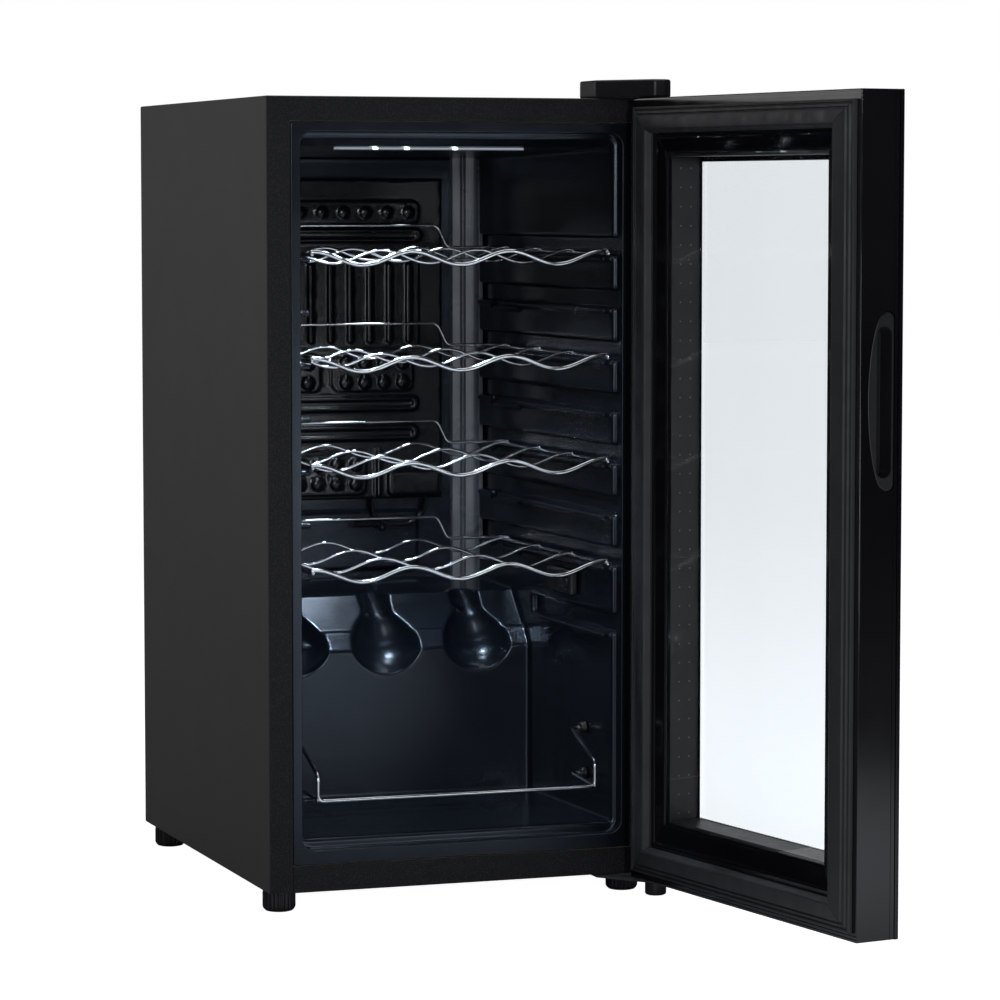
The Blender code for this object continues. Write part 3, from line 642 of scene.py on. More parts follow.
def storage_space():
    """The storage space as a solid, with its grooves, lips, hump and bottle rests."""
    outline = [
        (-6.0, FLOOR_Z - 9.0), (0.6, FLOOR_Z - 8.7), (14.0, FLOOR_Z), (HUMP_FACE, FLOOR_Z),
        (HUMP_FACE, HUMP_SHOULDER), (220.0, 192.0), (224.0, 193.6), (HUMP_CREST_Y, HUMP_TOP),
        (CAVITY_REAR, HUMP_TOP + 3.0), (CAVITY_REAR, CEILING_REAR), (26.0, CEILING_FRONT),
        (0.6, MOUTH_HIGH), (-6.0, MOUTH_HIGH + 1.0),
    ]
    space = tapered(outline, wall_half)
    space = softened(space, 2.4, 3, 50.0)
    mouth = rounded_outline((MOUTH_LOW, -MOUTH_HALF), (MOUTH_HIGH, MOUTH_HALF), 11.0)
    fused(space, extruded(mouth, 1, -7.0, 12.0))
    for ledge in LEDGES:
        rear = HUMP_FACE - 7.0 if ledge < HUMP_TOP else 351.0
        high = ledge + 15.5
        groove = [(10.0, ledge), (rear, ledge), (rear, high), (10.0, high)]
        fused(space, tapered(groove, lambda y: wall_half(y) + 6.0))
    for x in REST_SPOTS:
        fused(space, bottle_shoulder(Vector((x, *REST_CENTRE)), Vector((x, *REST_CREST))))
    lips = []
    for ledge in LEDGES:
        rear = 228.0 if ledge > HUMP_TOP else HUMP_FACE - 20.0
        for side in (-1, 1):
            lips.append(side_block(side, 129.6, 14.0, rear, ledge - 5.0, ledge))
            if ledge > HUMP_TOP:
                lips.append(side_block(side, 131.0, rear - 1.0, 303.0, ledge - 8.0, ledge - 4.2))
                lips.append(side_block(side, 130.0, 296.0, 303.0, ledge - 8.0, ledge + 1.2))
                lips.append(side_block(side, 131.5, 302.0, 347.0, ledge - 5.0, ledge - 0.6))
    cut(space, *lips)
    # A raised field low on the rear wall, a block on the hump and three ribs on the floor
    cut(space, box((-92.0, 349.6, 236.0), (76.0, 360.0, 290.0)))
    cut(space, box((22.0, 318.0, 220.0), (66.0, 334.0, 229.0)))
    for x in (-84.0, -14.0, 56.0):
        cut(space, box((x, 96.0, 40.0), (x + 5.0, 182.0, 45.4)))
    return space


def bottle_shoulder(centre, crest):
    """The round shoulder and neck of a bottle lying from the centre towards the hump's crest."""
    rows = [(0, -REST_RADIUS, 0)]
    for k in range(1, 15):
        d = -REST_RADIUS + (REST_RADIUS + REST_BALL_END) * k / 14
        rows.append((math.sqrt(REST_RADIUS ** 2 - d * d), d, 0))
    for k in range(1, 11):
        t = k / 10
        radius = REST_FLARE_RADIUS - REST_TAPER * smooth_step(t) - 6.0 * t * (1 - t) * (1 - t)
        rows.append((radius, REST_BALL_END + REST_FLARE * t, 0))
    rows += [(REST_NECK_RADIUS, REST_NECK_END, 0), (0, REST_NECK_END, 0)]
    shape = turned(rows, 0.0, 0.0)
    turn = (crest - centre).normalized().to_track_quat("Z", "Y").to_matrix().to_4x4()
    shape.data.transform(Matrix.Translation(centre) @ turn)
    return shape


def side_block(side, inner, front, rear, low, high):
    """A box from the given distance off the middle out into one side wall."""
    reach = sorted((side * inner, side * 160.0))
    return box((reach[0], front, low), (reach[1], rear, high))


def moulded_liner():
    space = storage_space()
    step = space.modifiers.new("cast", "REMESH")
    step.mode = "VOXEL"
    step.voxel_size = 1.3
    ease = space.modifiers.new("ease", "SMOOTH")
    ease.factor = 0.5
    ease.iterations = 4
    settled(space)
    bm = bmesh.new()
    bm.from_mesh(space.data)
    everything = bm.verts[:] + bm.edges[:] + bm.faces[:]
    bmesh.ops.bisect_plane(
        bm, geom=everything, plane_co=(0, SHEET, 0), plane_no=(0, -1, 0), clear_outer=True,
    )
    bmesh.ops.reverse_faces(bm, faces=bm.faces)
    bm.to_mesh(space.data)
    bm.free()
    placed(
        space, "liner_cavity", "cabinet", LINER_BLACK, ["inner_liner"], 80.0,
        weighted=False,
    )
    rim = box((-RIM_HALF, 0.0, RIM_LOW), (RIM_HALF, 2.2, RIM_HIGH))
    low = (MOUTH_LOW + 0.4, 0.4 - MOUTH_HALF)
    high = (MOUTH_HIGH - 0.4, MOUTH_HALF - 0.4)
    mouth = rounded_outline(low, high, 11.0)
    cut(rim, extruded(mouth, 1, -5.0, 5.0))
    placed(softened(rim, 0.9, 3), "liner_rim", "cabinet", LINER_BLACK)
    outline = [
        (109.4, 354.0), (109.4, 349.6), (110.2, 348.6), (117.0, 346.2), (117.8, 347.2),
        (118.6, 345.6), (120.0, 345.0), (120.8, 346.1), (121.6, 344.4), (128.4, 342.0),
        (131.0, 340.0), (132.4, 336.6), (136.0, 336.6), (136.0, 354.0),
    ]
    duct = softened(extruded(outline, 2, 224.0, 620.0), 0.5, 2, 25.0)
    placed(duct, "rear_corner_duct", "cabinet", DUCT_SATIN)


# -------- evaporator

def smooth_step(value):
    value = min(1.0, max(0.0, value))
    return value * value * (3.0 - 2.0 * value)


def pill(x, z, x0, x1, z0, z1, radius, edge):
    """1 inside a rounded rectangle, easing to 0 over the edge width."""
    dx = abs(x - (x0 + x1) / 2) - (x1 - x0) / 2 + radius
    dz = abs(z - (z0 + z1) / 2) - (z1 - z0) / 2 + radius
    outside = math.hypot(max(dx, 0.0), max(dz, 0.0)) + min(max(dx, dz), 0.0) - radius
    return smooth_step(-outside / edge)


def dimple(x, z, cx, cz, radius):
    """A half ball of height 1 over the centre, and 0 outside its radius."""
    away = math.hypot(x - cx, z - cz) / radius
    if away >= 1.0:
        return 0.0
    return math.sqrt(1.0 - away * away)


def ringed(h, x, z, cx, cz, radius):
    """The height so far, or that of a ball standing on a low disc where this is higher."""
    rise = dimple(x, z, cx, cz, radius)
    return max(h, 1.2 + 3.0 * rise) if rise else h


def evaporator_height(x, z):
    """How far the pressed pattern stands off the panel, band by band from the top down."""
    def pad(*shape):
        return pill(x, z, *shape)

    h = 0.0
    if z > 556.0:
        h = max(h, 1.2 * pad(-94.0, 76.0, 556.5, 580.0, 8.0, 3.0))
        for k in range(8):
            h = max(h, 3.4 * dimple(x, z, 64.0 - 21.0 * k, 568.0, 6.4))
    elif z > 535.0:
        h = max(h, 2.6 * pad(-94.0, 78.0, 539.0, 554.5, 7.0, 3.0))
        h -= 1.4 * pad(-88.0, 70.0, 543.0, 550.5, 3.5, 2.0)
    elif z > 438.0:
        for k in range(9):
            cx = 64.0 - 19.0 * k
            h = max(h, 2.8 * pad(cx - 5.4, cx + 5.4, 445.0, 524.0, 5.0, 4.6))
        h = max(h, 0.8 * pad(-96.0, 76.0, 441.0, 529.0, 6.0, 3.0))
    elif z > 398.0:
        for x0, x1 in ((-12.0, 70.0), (-98.0, -20.0)):
            h = max(h, 1.4 * pad(x0, x1, 401.0, 438.0, 9.0, 3.0))
        for k in range(9):
            cx = 58.0 - 18.4 * k
            if abs(cx + 16.0) < 8.0:
                continue
            for cz in (429.0, 411.0):
                h = ringed(h, x, z, cx, cz, 6.6)
    elif z > 354.0:
        for cz in (391.0, 364.0):
            outer = 3.0 * pad(-94.0, 75.0, cz - 8.5, cz + 8.5, 8.0, 3.4)
            inner = 2.2 * pad(-92.0, 69.0, cz - 4.0, cz + 4.0, 3.8, 2.4)
            h = max(h, outer - inner)
    else:
        h = max(h, 1.3 * pad(-96.0, 24.0, 305.0, 347.0, 9.0, 3.0))
        for cz in (335.0, 317.0):
            for k in range(6):
                h = ringed(h, x, z, 12.0 - 18.4 * k, cz, 6.4)
        h = max(h, 2.6 * pad(31.4, 37.8, 303.0, 350.0, 2.8, 2.4))
        h = max(h, 3.2 * pad(42.0, 96.0, 304.0, 330.0, 6.0, 3.0))
    return h


def evaporator_panel():
    low_x, high_x, low_z, high_z = -98.0, 98.0, 302.0, 600.0
    pitch = 1.0
    columns = int((high_x - low_x) / pitch)
    rows = int((high_z - low_z) / pitch)
    face = EVAPORATOR_FACE
    bm = bmesh.new()
    grid = []
    for j in range(rows + 1):
        z = low_z + j * pitch
        line = []
        for i in range(columns + 1):
            x = low_x + i * pitch
            edge = min(x - low_x, high_x - x, z - low_z, high_z - z)
            roll = 1.0 - smooth_step(edge / 2.0)
            y = face - evaporator_height(x, z) * (1.0 - roll) + roll * 1.6
            line.append(bm.verts.new((x, y, z)))
        grid.append(line)
    for j in range(rows):
        for i in range(columns):
            bm.faces.new((grid[j][i], grid[j][i + 1], grid[j + 1][i + 1], grid[j + 1][i]))
    front = object_from(bm)
    back = box((low_x + 0.2, face + 1.2, low_z + 0.2), (high_x - 0.2, face + 2.0, high_z - 0.2))
    panel = merged(front, back)
    thin = panel.modifiers.new("thin", "DECIMATE")
    thin.ratio = 0.55
    settled(panel)
    placed(
        panel, "evaporator_panel", "cabinet", EVAPORATOR_BLACK, ["evaporator_plate"],
        60.0, weighted=False,
    )
    y = 346.5
    route = [(30, y, 330), (30, y, 286), (46, y, 278), (68, y, 278), (82, y, 290), (84, y, 330)]
    pipe = rod(bent(route, 7.0), 2.3)
    sleeve = rod([(8, 343, 284), (8, 343, 277), (52, 343, 277)], 0.8)
    coils = [
        cylinder((10 + k * 2.2, 343, 279), (11.4 + k * 2.2, 343, 279), 3.3, 20) for k in range(12)
    ]
    knob = ball((38, 341, 276), 4.0, 24, 16)
    tube = merged(pipe, sleeve, knob, *coils)
    placed(
        tube, "evaporator_pipe", "cabinet", EVAPORATOR_BLACK, ["evaporator_tube"],
    )


def lamp_strip():
    strip = softened(box((-100.0, 34.0, 621.4), (66.0, 46.0, 623.8)), 0.6, 3)
    placed(strip, "lamp_strip", "cabinet", LAMP_GLOW_AND_PAINTED_HIGHLIGHT, ["lamp_lens"])


def sensor_housing():
    outer = wall_half(150) - 0.3
    face = outer - 6.0
    cover = softened(box((face, 88.0, 233.0), (outer, 150.0, 254.0)), 1.4, 3)
    for k in range(8):
        y = 121.0 + k * 3.4
        cut(cover, box((face - 5.0, y, 235.5), (face + 2.5, y + 1.7, 251.5)))
    pocket = rounded_outline((94.0, 237.0), (114.0, 250.0), 4.0)
    cut(cover, extruded(pocket, 0, face - 2.0, face + 2.0))
    screw = cylinder((face + 0.6, 104, 243.5), (face + 3.0, 104, 243.5), 3.2, 24, 3.6)
    upright = box((face - 1, 103.5, 240.8), (face + 1.4, 104.5, 246.2))
    level = box((face - 1, 101.3, 243.0), (face + 1.4, 106.7, 244.0))
    cut(screw, upright, level)
    placed(
        merged(cover, screw), "sensor_housing", "cabinet", PLASTIC,
        ["sensor_cover"],
    )


# -------- wire goods

def wave_points(y, top):
    """A cross wire that dips once for each of the three bottles and is level at its ends."""
    points = []
    crest, pitch, depth, steps = 130.5, 87.0, 11.2, 120
    for k in range(steps + 1):
        x = crest * (2.0 * k / steps - 1.0)
        dip = (1.0 + math.cos(2.0 * math.pi * x / pitch)) / 2.0
        points.append((x, y, top - depth * dip))
    return [(-SHELF_HALF, y, top)] + points + [(SHELF_HALF, y, top)]


def shelf_mesh():
    parts = []
    front, rear = 4.5, 299.2
    for side in (-1, 1):
        x = side * SHELF_HALF
        parts.append(rod([(x, front, 0), (x, front + 0.8, 0), (x, rear, 0)], RAIL_RADIUS, 4))
        for y in (front + 0.3, rear - 0.3):
            parts.append(ball((x, y, 0), RAIL_RADIUS, 20, 14))
    for row in range(4):
        y = 7.0 + row * 83.0
        wire, weld = (WAVE_RADIUS, 1.9) if row else (FRONT_WAVE_RADIUS, 2.3)
        parts.append(rod(wave_points(y, 2.4), wire, 4))
        for side in (-1, 1):
            parts.append(ball((side * 132.0, y, 1.9), weld, 18, 12))
    y, level, step = 264, 2.3, 20
    stop = [
        (-SHELF_HALF, y, level), (-76, y, level), (-66, y, level + step),
        (66, y, level + step), (76, y, level), (SHELF_HALF, y, level),
    ]
    parts.append(rod(bent(stop, 5.0), WAVE_RADIUS, 4))
    for side in (-1, 1):
        parts.append(ball((side * 132.0, y, 1.9), 1.9, 18, 12))
    return merged(*parts)


def shelves():
    pattern = shelf_mesh()
    for number, level in enumerate(SHELF_LEVELS, start=1):
        shelf = linked("shelf", pattern.data.copy())
        placed(
            shelf, "chrome_shelf_%d" % number, "shelf_%d" % number, CHROME,
            ["wire_shelf_%d" % number], 50.0, CABINET @ Matrix.Translation((0, 0, level)), False,
        )
    bpy.data.objects.remove(pattern)


def guard():
    y = GUARD_Y
    top, low = GUARD_LEVELS["upper"], GUARD_LEVELS["lower"]
    reach = wall_half(y) - 0.8
    sides = []
    for side in (-1, 1):
        x = side * GUARD_HALF
        sides.append([(side * reach, y, top), (x, y, top), (x, 16, 96), (x, 16, 74)])
    loop = sides[0] + sides[1][::-1]
    parts = [rod(bent(loop, 5.0), GUARD_RADIUS, 4)]
    for side in (-1, 1):
        x = side * GUARD_HALF
        stay = [(side * reach, y, low), (x, y, low), (x, 16.5, 74.7)]
        parts.append(rod(bent(stay, 5.0), STAY_RADIUS, 4))
        parts.append(ball((x, 16.3, 75.1), 2.4, 20, 14))
    placed(
        merged(*parts), "chrome_guard", "cabinet", CHROME, ["bottle_guard"], 50.0,
        weighted=False,
    )
    for side, word in ((-1, "left"), (1, "right")):
        for place, z in GUARD_LEVELS.items():
            inner = side * (reach - 4.5)
            outer = side * (reach + 0.2)
            cup = softened(cylinder((inner, y, z), (outer, y, z), 4.6, 32, 5.4), 0.8, 3)
            cut(cup, cylinder((inner - side * 2, y, z), (outer + side * 2, y, z), 2.0, 24))
            name = "%s_%s" % (place, word)
            placed(
                cup, "guard_bush_" + name, "cabinet", PLASTIC,
                ["guard_socket_" + name],
            )


# -------- feet and hinges

def feet():
    profile = [
        (0, -19.0, 0), (10.2, -19.0, 0), (11.6, -18.6, 0), (13.2, -17.0, 0.3), (14.0, -15.2, 1),
        (14.0, -3.4, 1), (13.6, -1.6, 0.4), (12.6, -0.5, 0), (4.0, -0.4, 0), (4.0, 13.0, 0),
        (0, 13.0, 0),
    ]
    for side, word in ((-1, "left"), (1, "right")):
        for y, place in ((30.0, "front"), (385.0, "rear")):
            foot = turned(profile, side * FOOT_X, y, 144, 24, 0.9)
            name = "%s_%s" % (place, word)
            placed(
                foot, "ribbed_foot_" + name, "foot_" + name, PLASTIC,
                ["levelling_foot_" + name],
            )


def hinge_parts():
    outline = [
        (119, 3), (119, 40), (122, 43), (169, 43), (172, 40), (172, -38), (165, -45), (154, -45),
    ]
    hollow = [(121, 4), (121, 41), (170, 41), (170, -37), (164, -43), (155, -43)]
    low = HEIGHT + 0.3
    cover = softened(extruded(outline, 2, low, 681.0), 2.2, 4, 25.0)
    cut(cover, extruded(hollow, 2, low - 5, 679.0))
    placed(cover, "hinge_cover_top", "cabinet", PLASTIC, ["upper_hinge_cover"])
    profile = [
        (0, -15.0, 0), (7.4, -15.0, 0), (8.6, -14.4, 0), (9.2, -13.2, 0), (9.2, -4.6, 0),
        (8.6, -3.6, 0), (0, -3.6, 0),
    ]
    cap = turned(profile, HINGE_X, HINGE_Y)
    placed(cap, "hinge_pin_cap", "cabinet", PLASTIC, ["lower_hinge_cap"])
    dressed("upper_hinge_bracket", ZINC, 0.4)
    dressed("lower_hinge_bracket", BLACK_PAINT, 0.4)


# -------- door

def grip_outline(grow):
    """Straight on the glass side, bulging towards the gasket, round ends, as (z, y) points."""
    points = []
    outer = -41.2 - grow + 0.4
    low = GRIP_LOW - grow
    high = GRIP_HIGH + grow
    for k in range(41):
        t = k / 40
        z = low + (high - low) * t
        bulge = math.sin(math.pi * t) ** 0.42
        points.append((z, -33.0 + (17.2 + grow) * bulge))
    corner = 6.0
    for end, way, start in ((high, -1, 0.0), (low, 1, 90.0)):
        for k in range(7):
            a = math.radians(start + 90.0 * k / 6)
            z = end + way * corner + corner * math.cos(a)
            points.append((z, outer + corner - corner * math.sin(a)))
    return points


def door_frame():
    body = box((-DOOR_HALF, DOOR_FRONT, DOOR_LOW), (DOOR_HALF, DOOR_INNER, DOOR_HIGH))
    body = softened(body, 1.0, 3)
    window = box((-127.0, -60, 47.5), (127.0, 5, 624.5))
    seat = box((-136.3, -12.8, 31.7), (136.3, 5, 634.3))
    cut(body, window, seat)
    outline = [(y, z) for z, y in grip_outline(0.0)]
    cut(body, extruded(outline, 0, -DOOR_HALF - 5, -DOOR_HALF + 19.0))
    for low, high in ((645.0, 680.0), (-10.0, 20.0)):
        cut(body, cylinder((HINGE_X, HINGE_Y, low), (HINGE_X, HINGE_Y, high), 5.6))
    cut(body, box((-46, DOOR_FRONT - 5, 632), (46, DOOR_FRONT + 9, 656)))
    for low in (662.4, 659.6, 2.6, 5.4):
        cut(body, box((-DOOR_HALF - 5, DOOR_INNER - 0.9, low), (DOOR_HALF + 5, 0, low + 0.9)))
    seam = box((-DOOR_HALF - 5, DOOR_FRONT + 4.0, -5), (-DOOR_HALF + 0.4, DOOR_FRONT + 4.5, 700))
    cut(body, seam)
    placed(body, "door_surround", "door", GLOSS_BLACK, ["door_frame"])


def door_grip():
    outline = [(y, z) for z, y in grip_outline(-0.3)]
    cup = softened(extruded(outline, 0, -DOOR_HALF + 0.2, -DOOR_HALF + 18.7), 1.0, 3, 50.0)
    slot = rounded_outline((-38.0, 364.0), (-24.0, 482.0), 6.9, 10)
    cut(cup, softened(extruded(slot, 0, -DOOR_HALF - 5, -DOOR_HALF + 16.0), 0.6, 2, 50.0))
    placed(cup, "grip_pocket", "door", PLASTIC, ["grip_insert"])


def mitre_slots(low, high, widths, near, far):
    """Hairline diagonal slots where the four lengths of a frame meet."""
    slots = []
    for x, turn_x in ((low[0], 1), (high[0], -1)):
        for z, reach, turn_z in ((low[1], widths[1], 1), (high[1], widths[2], -1)):
            start = Vector((z - turn_z * reach / widths[0], x - turn_x))
            end = Vector((z + turn_z * (reach + reach / widths[0]), x + turn_x * (widths[0] + 1)))
            run = (end - start).normalized()
            across = Vector((-run.y, run.x)) * 0.22
            corners = [start + across, end + across, end - across, start - across]
            slots.append(extruded([tuple(c) for c in corners], 1, near, far))
    return slots


def door_seal():
    profile = [
        (0.0, -8.2), (0.0, -5.6), (0.03, -4.8), (0.09, -4.8), (0.12, -5.9), (0.15, -5.9),
        (0.18, -4.0), (0.25, -3.7), (0.28, -4.8), (0.31, -4.8), (0.34, -2.9), (0.42, -2.2),
        (0.70, -1.2), (0.82, -1.1), (0.88, -1.9), (0.92, -3.6), (0.97, -5.0), (1.0, -6.2),
        (1.0, -8.2),
    ]
    low, high, widths = (-167.0, 7.5), (167.0, 657.5), (29.0, 23.5, 22.0)
    seal = swept_frame(low, high, widths, profile)
    cut(seal, *mitre_slots(low, high, widths, -7.0, 0.0))
    placed(seal, "ridged_gasket", "door", RUBBER, ["door_gasket"], 25.0)


def door_bead():
    profile = [
        (0.0, -12.7), (0.0, -8.6), (0.06, -8.0), (0.16, -8.0), (0.22, -8.7), (0.30, -8.8),
        (0.80, -11.2), (0.90, -11.4), (0.95, -12.2), (1.0, -12.6), (1.0, -12.8),
    ]
    low, high, widths = (-136.0, 32.0), (136.0, 634.0), (15.0, 21.5, 15.5)
    bead = swept_frame(low, high, widths, profile)
    cut(bead, *mitre_slots(low, high, widths, -12.3, -5.0))
    placed(bead, "mitred_bead", "door", GLOSS_BLACK, ["glazing_bead"], 20.0)


def spacer_beads():
    """Two rows of tiny discs along each length of the spacer, facing the window's middle."""
    pitch, proud, sunk = 16.0, 0.25, 0.4
    ends = []
    for side in (-1, 1):
        face = side * 118.2
        for k in range(35):
            z = 62.0 + pitch * k
            for y in BEAD_ROWS:
                ends.append(((face + side * sunk, y, z), (face - side * proud, y, z)))
    for level, up in ((56.3, 1), (615.7, -1)):
        for k in range(14):
            x = -104.0 + pitch * k
            for y in BEAD_ROWS:
                ends.append(((x, y, level - up * sunk), (x, y, level + up * proud)))
    parts = [cylinder(start, end, 0.9, 10, 0.7) for start, end in ends]
    placed(merged(*parts), "spacer_perforations", "door", DESICCANT, weighted=False)


def front_pane():
    """Outer glass: clear in the window and black wherever its back is printed."""
    back = DOOR_FRONT - 0.3
    face = back - 4.0
    low = (-DOOR_HALF, DOOR_LOW)
    high = (DOOR_HALF, DOOR_HIGH)
    widths = (DOOR_HALF - WINDOW_HALF, WINDOW_LOW - DOOR_LOW, DOOR_HIGH - WINDOW_HIGH)
    ground = 0.7
    profile = [
        (0.0, back), (0.0, face + ground), (ground / widths[0], face), (1.0, face), (1.0, back),
    ]
    border = swept_frame(low, high, widths, profile)
    placed(border, "printed_glass_border", "door", FRIT, ["front_glass"], 50.0)
    gap = 0.04
    clear = box(
        (gap - WINDOW_HALF, face, WINDOW_LOW + gap), (WINDOW_HALF - gap, back, WINDOW_HIGH - gap),
    )
    placed(clear, "front_glass_clear", "door", GLASS, angle=10.0)


# Strokes of a digit, as (x low, z low, x high, z high)
STROKES = {
    "a": (-3.0, 11.4, 3.0, 12.6), "g": (-3.0, 5.4, 3.0, 6.6), "d": (-3.0, -0.6, 3.0, 0.6),
    "b": (3.2, 6.4, 4.4, 11.6), "c": (3.2, 0.4, 4.4, 5.6), "e": (-4.4, 0.4, -3.2, 5.6),
}


def display_marks():
    """The number 12 and four round keys with a dash in each."""
    parts = []
    base = 638.0
    for x, letters in ((-9.0, "bc"), (3.0, "abged")):
        for letter in letters:
            x0, z0, x1, z1 = STROKES[letter]
            outline = rounded_outline((base + z0, x - x1), (base + z1, x - x0), 0.55, 3)
            parts.append(extruded(outline, 1, *DISPLAY_DEPTHS))
    for x in KEY_SPOTS:
        ring = []
        for k in range(24):
            a = k / 24 * math.tau
            ring.append((x + 3.2 * math.cos(a), -48.61, KEY_Z + 3.2 * math.sin(a)))
        parts.append(rod(ring, 0.045, 1, True))
        low, high, left, right = KEY_Z - 0.3, KEY_Z + 0.3, x - 1.6, x + 1.6
        dash = [(low, left), (high, left), (high, right), (low, right)]
        parts.append(extruded(dash, 1, *DISPLAY_DEPTHS))
    placed(merged(*parts), "display_digits", "door", DIGIT)


def door():
    door_frame()
    door_grip()
    door_seal()
    door_bead()
    spacer_beads()
    front_pane()
    display_marks()
    for node, look, width in (
        ("inner_glass", GLASS, 0.4), ("glass_spacer", SPACER, 0.4), ("upper_hinge_bush", WHITE, 0),
        ("lower_hinge_bush", WHITE, 0), ("display_module", PLASTIC, 0.5),
    ):
        dressed(node, look, width)


# -------- back

def condenser():
    points = []
    for run in range(COIL_RUNS):
        z = 246.0 + run * 2 * COIL_TURN
        side = 1 if run % 2 == 0 else -1
        points.append((-side * COIL_HALF, COIL_Y, z))
        points.append((side * COIL_HALF, COIL_Y, z))
        if run == COIL_RUNS - 1:
            break
        for k in range(1, 16):
            a = math.pi * k / 16
            x = side * (COIL_HALF + COIL_TURN * math.sin(a))
            points.append((x, COIL_Y, z + COIL_TURN - COIL_TURN * math.cos(a)))
    placed(
        rod(points, 2.4, 4), "condenser_coil", "cabinet", BLACK_PAINT,
        ["condenser_tube"], 50.0, weighted=False,
    )
    wires = []
    for k in range(27):
        x = -117.0 + k * 9.0
        wires.append(rod([(x, 427.6, 240.0), (x, 427.6, 576.0)], 0.75, 2))
    placed(
        merged(*wires), "condenser_wires", "cabinet", BLACK_PAINT, weighted=False,
    )
    dressed("condenser_bracket_left", BLACK_PAINT, 0.6)
    dressed("condenser_bracket_right", BLACK_PAINT, 0.6)


def screw_head(x, y, z):
    """A flat dome with a cross cut in it."""
    wide, narrow = 2.2, 0.45
    head = ball((x, y, z), 3.4, 24, 14, 0.5)
    for dx, dz in ((narrow, wide), (wide, narrow)):
        cut(head, box((x - dx, y - 0.2, z - dz), (x + dx, y + 4, z + dz)))
    return head


def back_and_bay():
    panel = box((-BACK_HALF, DEPTH - SHEET, 186.3), (BACK_HALF, DEPTH, 664.0))
    half = 4.0
    beads = [((210.0, x - half), (640.0, x + half)) for x in (-132.0, 132.0)]
    beads += [((z - half, -112.0), (z + half, 112.0)) for z in (232.0, 604.0)]
    for low, high in beads:
        bead = extruded(rounded_outline(low, high, 3.9), 1, DEPTH - 0.6, DEPTH + 1.4)
        fused(panel, softened(bead, 0.9, 2, 50.0))
    placed(panel, "rear_panel", "cabinet", ZINC, ["back_panel"])
    heads = [
        screw_head(x, DEPTH, z) for x in (-160.0, 160.0) for z in (200.0, 350.0, 500.0, 650.0)
    ]
    placed(merged(*heads), "rear_panel_screws", "cabinet", ZINC)
    rows = [
        (0, 18), (0.5, 18.2), (0.72, 20), (0.9, 29), (0.97, 40), (1, 52), (1, 95), (1.03, 96),
        (1.035, 97), (1.035, 101), (1.02, 102.4), (0.985, 103), (0.96, 114), (0.91, 127),
        (0.82, 138), (0.68, 147), (0.5, 152.6), (0.3, 155.3), (0, 156),
    ]
    profile = [(POT_RADIUS * share, z, 0) for share, z in rows]
    pot = turned(profile, POT_X, POT_Y, 72)
    legs = softened(box((POT_X - 80, POT_Y - 45, 14), (POT_X + 80, POT_Y + 45, 17)), 1.0, 2)
    stub = softened(cylinder((POT_X, POT_Y, 150), (POT_X, POT_Y, 156), 6.0), 1.0, 2)
    placed(
        merged(pot, legs, stub), "compressor_pot", "cabinet", BLACK_PAINT,
        ["compressor"],
    )
    for number in range(1, 5):
        dressed("compressor_mount_%d" % number, RUBBER, 0.6)
    for node, look, width in (
        ("base_pan", ZINC, 0.3), ("compressor_base", ZINC, 0.3), ("start_relay_box", PLASTIC, 1.5),
        ("drip_tray", PLASTIC, 0.4), ("control_board_box", WHITE, 1.5), ("filter_drier", COPPER, 0),
        ("power_cord_gland", PLASTIC, 0.4), ("cord_bracket", ZINC, 0.3),
        ("discharge_line", COPPER, 0), ("suction_line", COPPER, 0),
    ):
        dressed(node, look, width)


# -------- studio

def camera():
    data = bpy.data.cameras.new("camera")
    data.sensor_width = 36.0
    data.lens = CAMERA_LENS
    data.clip_end = 50.0
    view = linked("camera", data)
    view.location = ORIGIN + Vector(CAMERA_PLACE) * MM
    view.rotation_euler = (math.radians(90.0 - CAMERA_DOWN), 0.0, math.radians(CAMERA_TURN))
    bpy.context.scene.camera = view


def area_light(name, place, aim, size, power, colour=(1.0, 1.0, 1.0), spread=180.0):
    data = bpy.data.lights.new(name, "AREA")
    data.spread = math.radians(spread)
    data.shape = "RECTANGLE"
    data.size, data.size_y = size
    data.energy = power
    data.color = colour
    lamp = linked(name, data)
    lamp.location = place
    lamp.visible_camera = False
    lamp.visible_transmission = False
    lamp.rotation_euler = (Vector(aim) - Vector(place)).to_track_quat("-Z", "Y").to_euler()


def seen_or_lighting(tree, lighting, seen, output):
    """Shows one shader to the camera, directly or through glass, and lights with the other."""
    path = tree.nodes.new("ShaderNodeLightPath").outputs
    choose = tree.nodes.new("ShaderNodeMixShader")
    direct = maths(tree, "MAXIMUM", path["Is Camera Ray"], path["Is Transmission Ray"])
    tree.links.new(direct, choose.inputs[0])
    tree.links.new(lighting.outputs[0], choose.inputs[1])
    tree.links.new(seen.outputs[0], choose.inputs[2])
    tree.links.new(choose.outputs[0], output.inputs["Surface"])


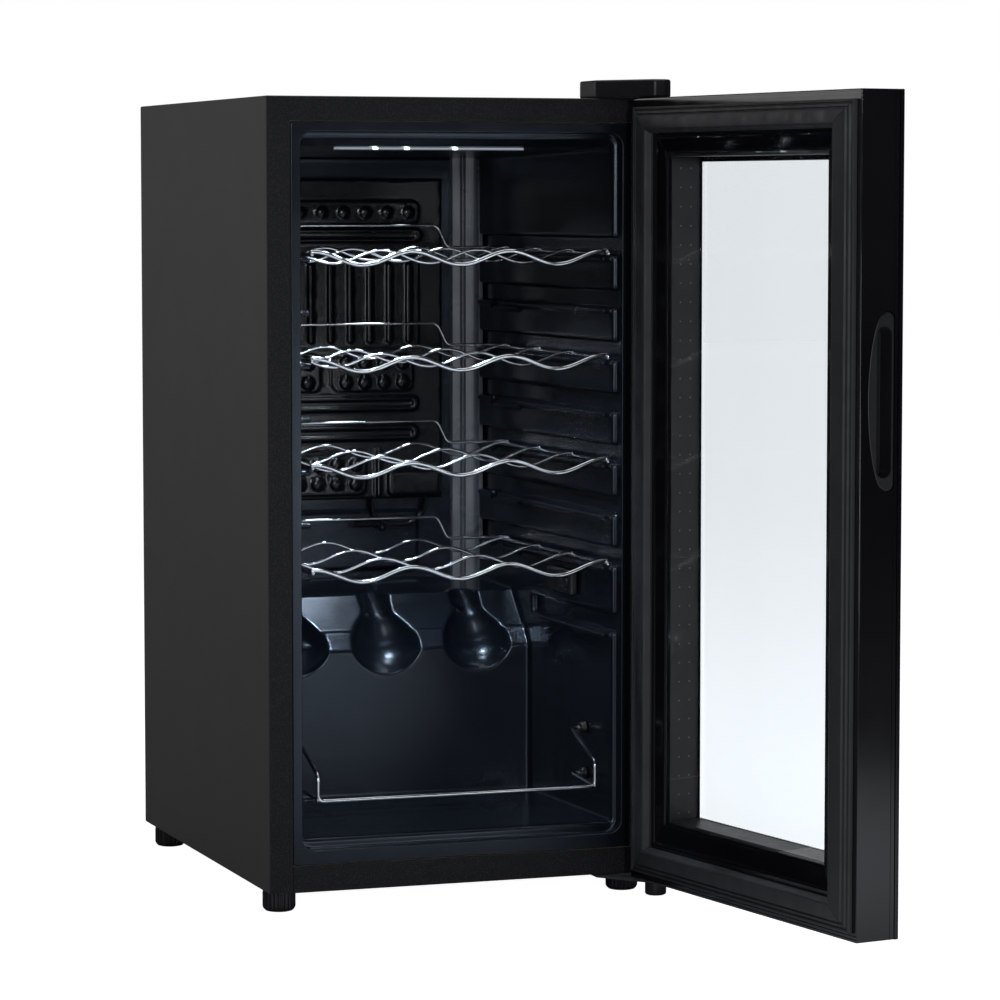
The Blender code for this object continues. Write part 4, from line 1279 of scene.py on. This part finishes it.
def studio_floor():
    """White to the camera; to the object a dull floor with a soft pool of light in front of it."""
    bm = bmesh.new()
    bmesh.ops.create_grid(bm, x_segments=1, y_segments=1, size=12.0)
    floor = object_from(bm, "studio_floor")
    paint = bpy.data.materials.new("studio_white")
    paint.use_nodes = True
    tree = paint.node_tree
    white = principled(paint)
    settings(white, {"Base Color": (0.85, 0.85, 0.86, 1.0), "Roughness": 0.9})
    settings(white, {"Emission Color": (1.0, 1.0, 1.0, 1.0), "Emission Strength": 0.98})
    dull = tree.nodes.new("ShaderNodeBsdfDiffuse")
    settings(dull, {"Color": (0.30, 0.30, 0.31, 1.0)})
    away = tree.nodes.new("ShaderNodeVectorMath")
    away.operation = "DISTANCE"
    tree.links.new(tree.nodes.new("ShaderNodeTexCoord").outputs["Object"], away.inputs[0])
    away.inputs[1].default_value = (0.28, -0.98, 0.0)
    pool = remapped(tree, away.outputs["Value"], 0.95, 0.15, 0.0, 0.75, "SMOOTHSTEP")
    lit = tree.nodes.new("ShaderNodeEmission")
    settings(lit, {"Color": (0.86, 0.94, 1.0, 1.0)})
    tree.links.new(pool, lit.inputs["Strength"])
    dim = tree.nodes.new("ShaderNodeAddShader")
    tree.links.new(dull.outputs[0], dim.inputs[0])
    tree.links.new(lit.outputs[0], dim.inputs[1])
    seen_or_lighting(tree, dim, white, tree.nodes["Material Output"])
    floor.data.materials.append(paint)


def studio_world():
    world = bpy.data.worlds.new("studio")
    world.use_nodes = True
    tree = world.node_tree
    seen = tree.nodes["Background"]
    seen.inputs[0].default_value = (1.0, 1.0, 1.0, 1.0)
    fill = tree.nodes.new("ShaderNodeBackground")
    fill.inputs[0].default_value = (0.90, 0.95, 1.0, 1.0)
    fill.inputs[1].default_value = 0.045
    seen_or_lighting(tree, fill, seen, tree.nodes["World Output"])
    bpy.context.scene.world = world


def studio():
    studio_floor()
    studio_world()
    bpy.context.scene.view_settings.view_transform = "Standard"
    aim = (0.0, 0.1, 0.35)
    area_light("overhead", (0.0, 0.0, 2.8), (0.0, 0.0, 0.0), (2.4, 2.4), 26.0)
    area_light("side_bank", (-1.9, 2.2, 0.9), aim, (1.6, 1.6), 8.2)
    area_light("key_strip", (-1.15, -2.45, 0.28), aim, (0.40, 0.50), 5.0, (0.90, 0.95, 1.0))
    area_light("near_camera", (-0.50, -3.1, 0.95), aim, (0.12, 0.34), 13.0, (0.93, 0.96, 1.0))
    area_light("front_bank", (0.95, -2.6, 0.16), aim, (0.9, 0.30), 3.2, (0.88, 0.94, 1.0))
    for number, x in enumerate(LED_SPOTS, start=1):
        name = "cabinet_lamp_%d" % number
        lamp = ORIGIN + Vector((x, 40.0, 620.0)) * MM
        below = ORIGIN + Vector((x, 90.0, 300.0)) * MM
        area_light(name, lamp, below, (0.010, 0.006), 0.22, COLD_LIGHT, 100.0)
    glow = ORIGIN + Vector((45.0, 205.0, 606.0)) * MM
    onto = ORIGIN + Vector((0.0, 235.0, 200.0)) * MM
    area_light("cabinet_glow", glow, onto, (0.05, 0.02), 0.05, (0.82, 0.91, 1.0), 75.0)


cabinet_shell()
moulded_liner()
evaporator_panel()
sensor_housing()
lamp_strip()
dressed("front_bottom_rail", FLANGE_BLACK, 0.4)
dressed("foam_insulation", FOAM)
shelves()
guard()
feet()
hinge_parts()
door()
condenser()
back_and_bay()
camera()
studio()
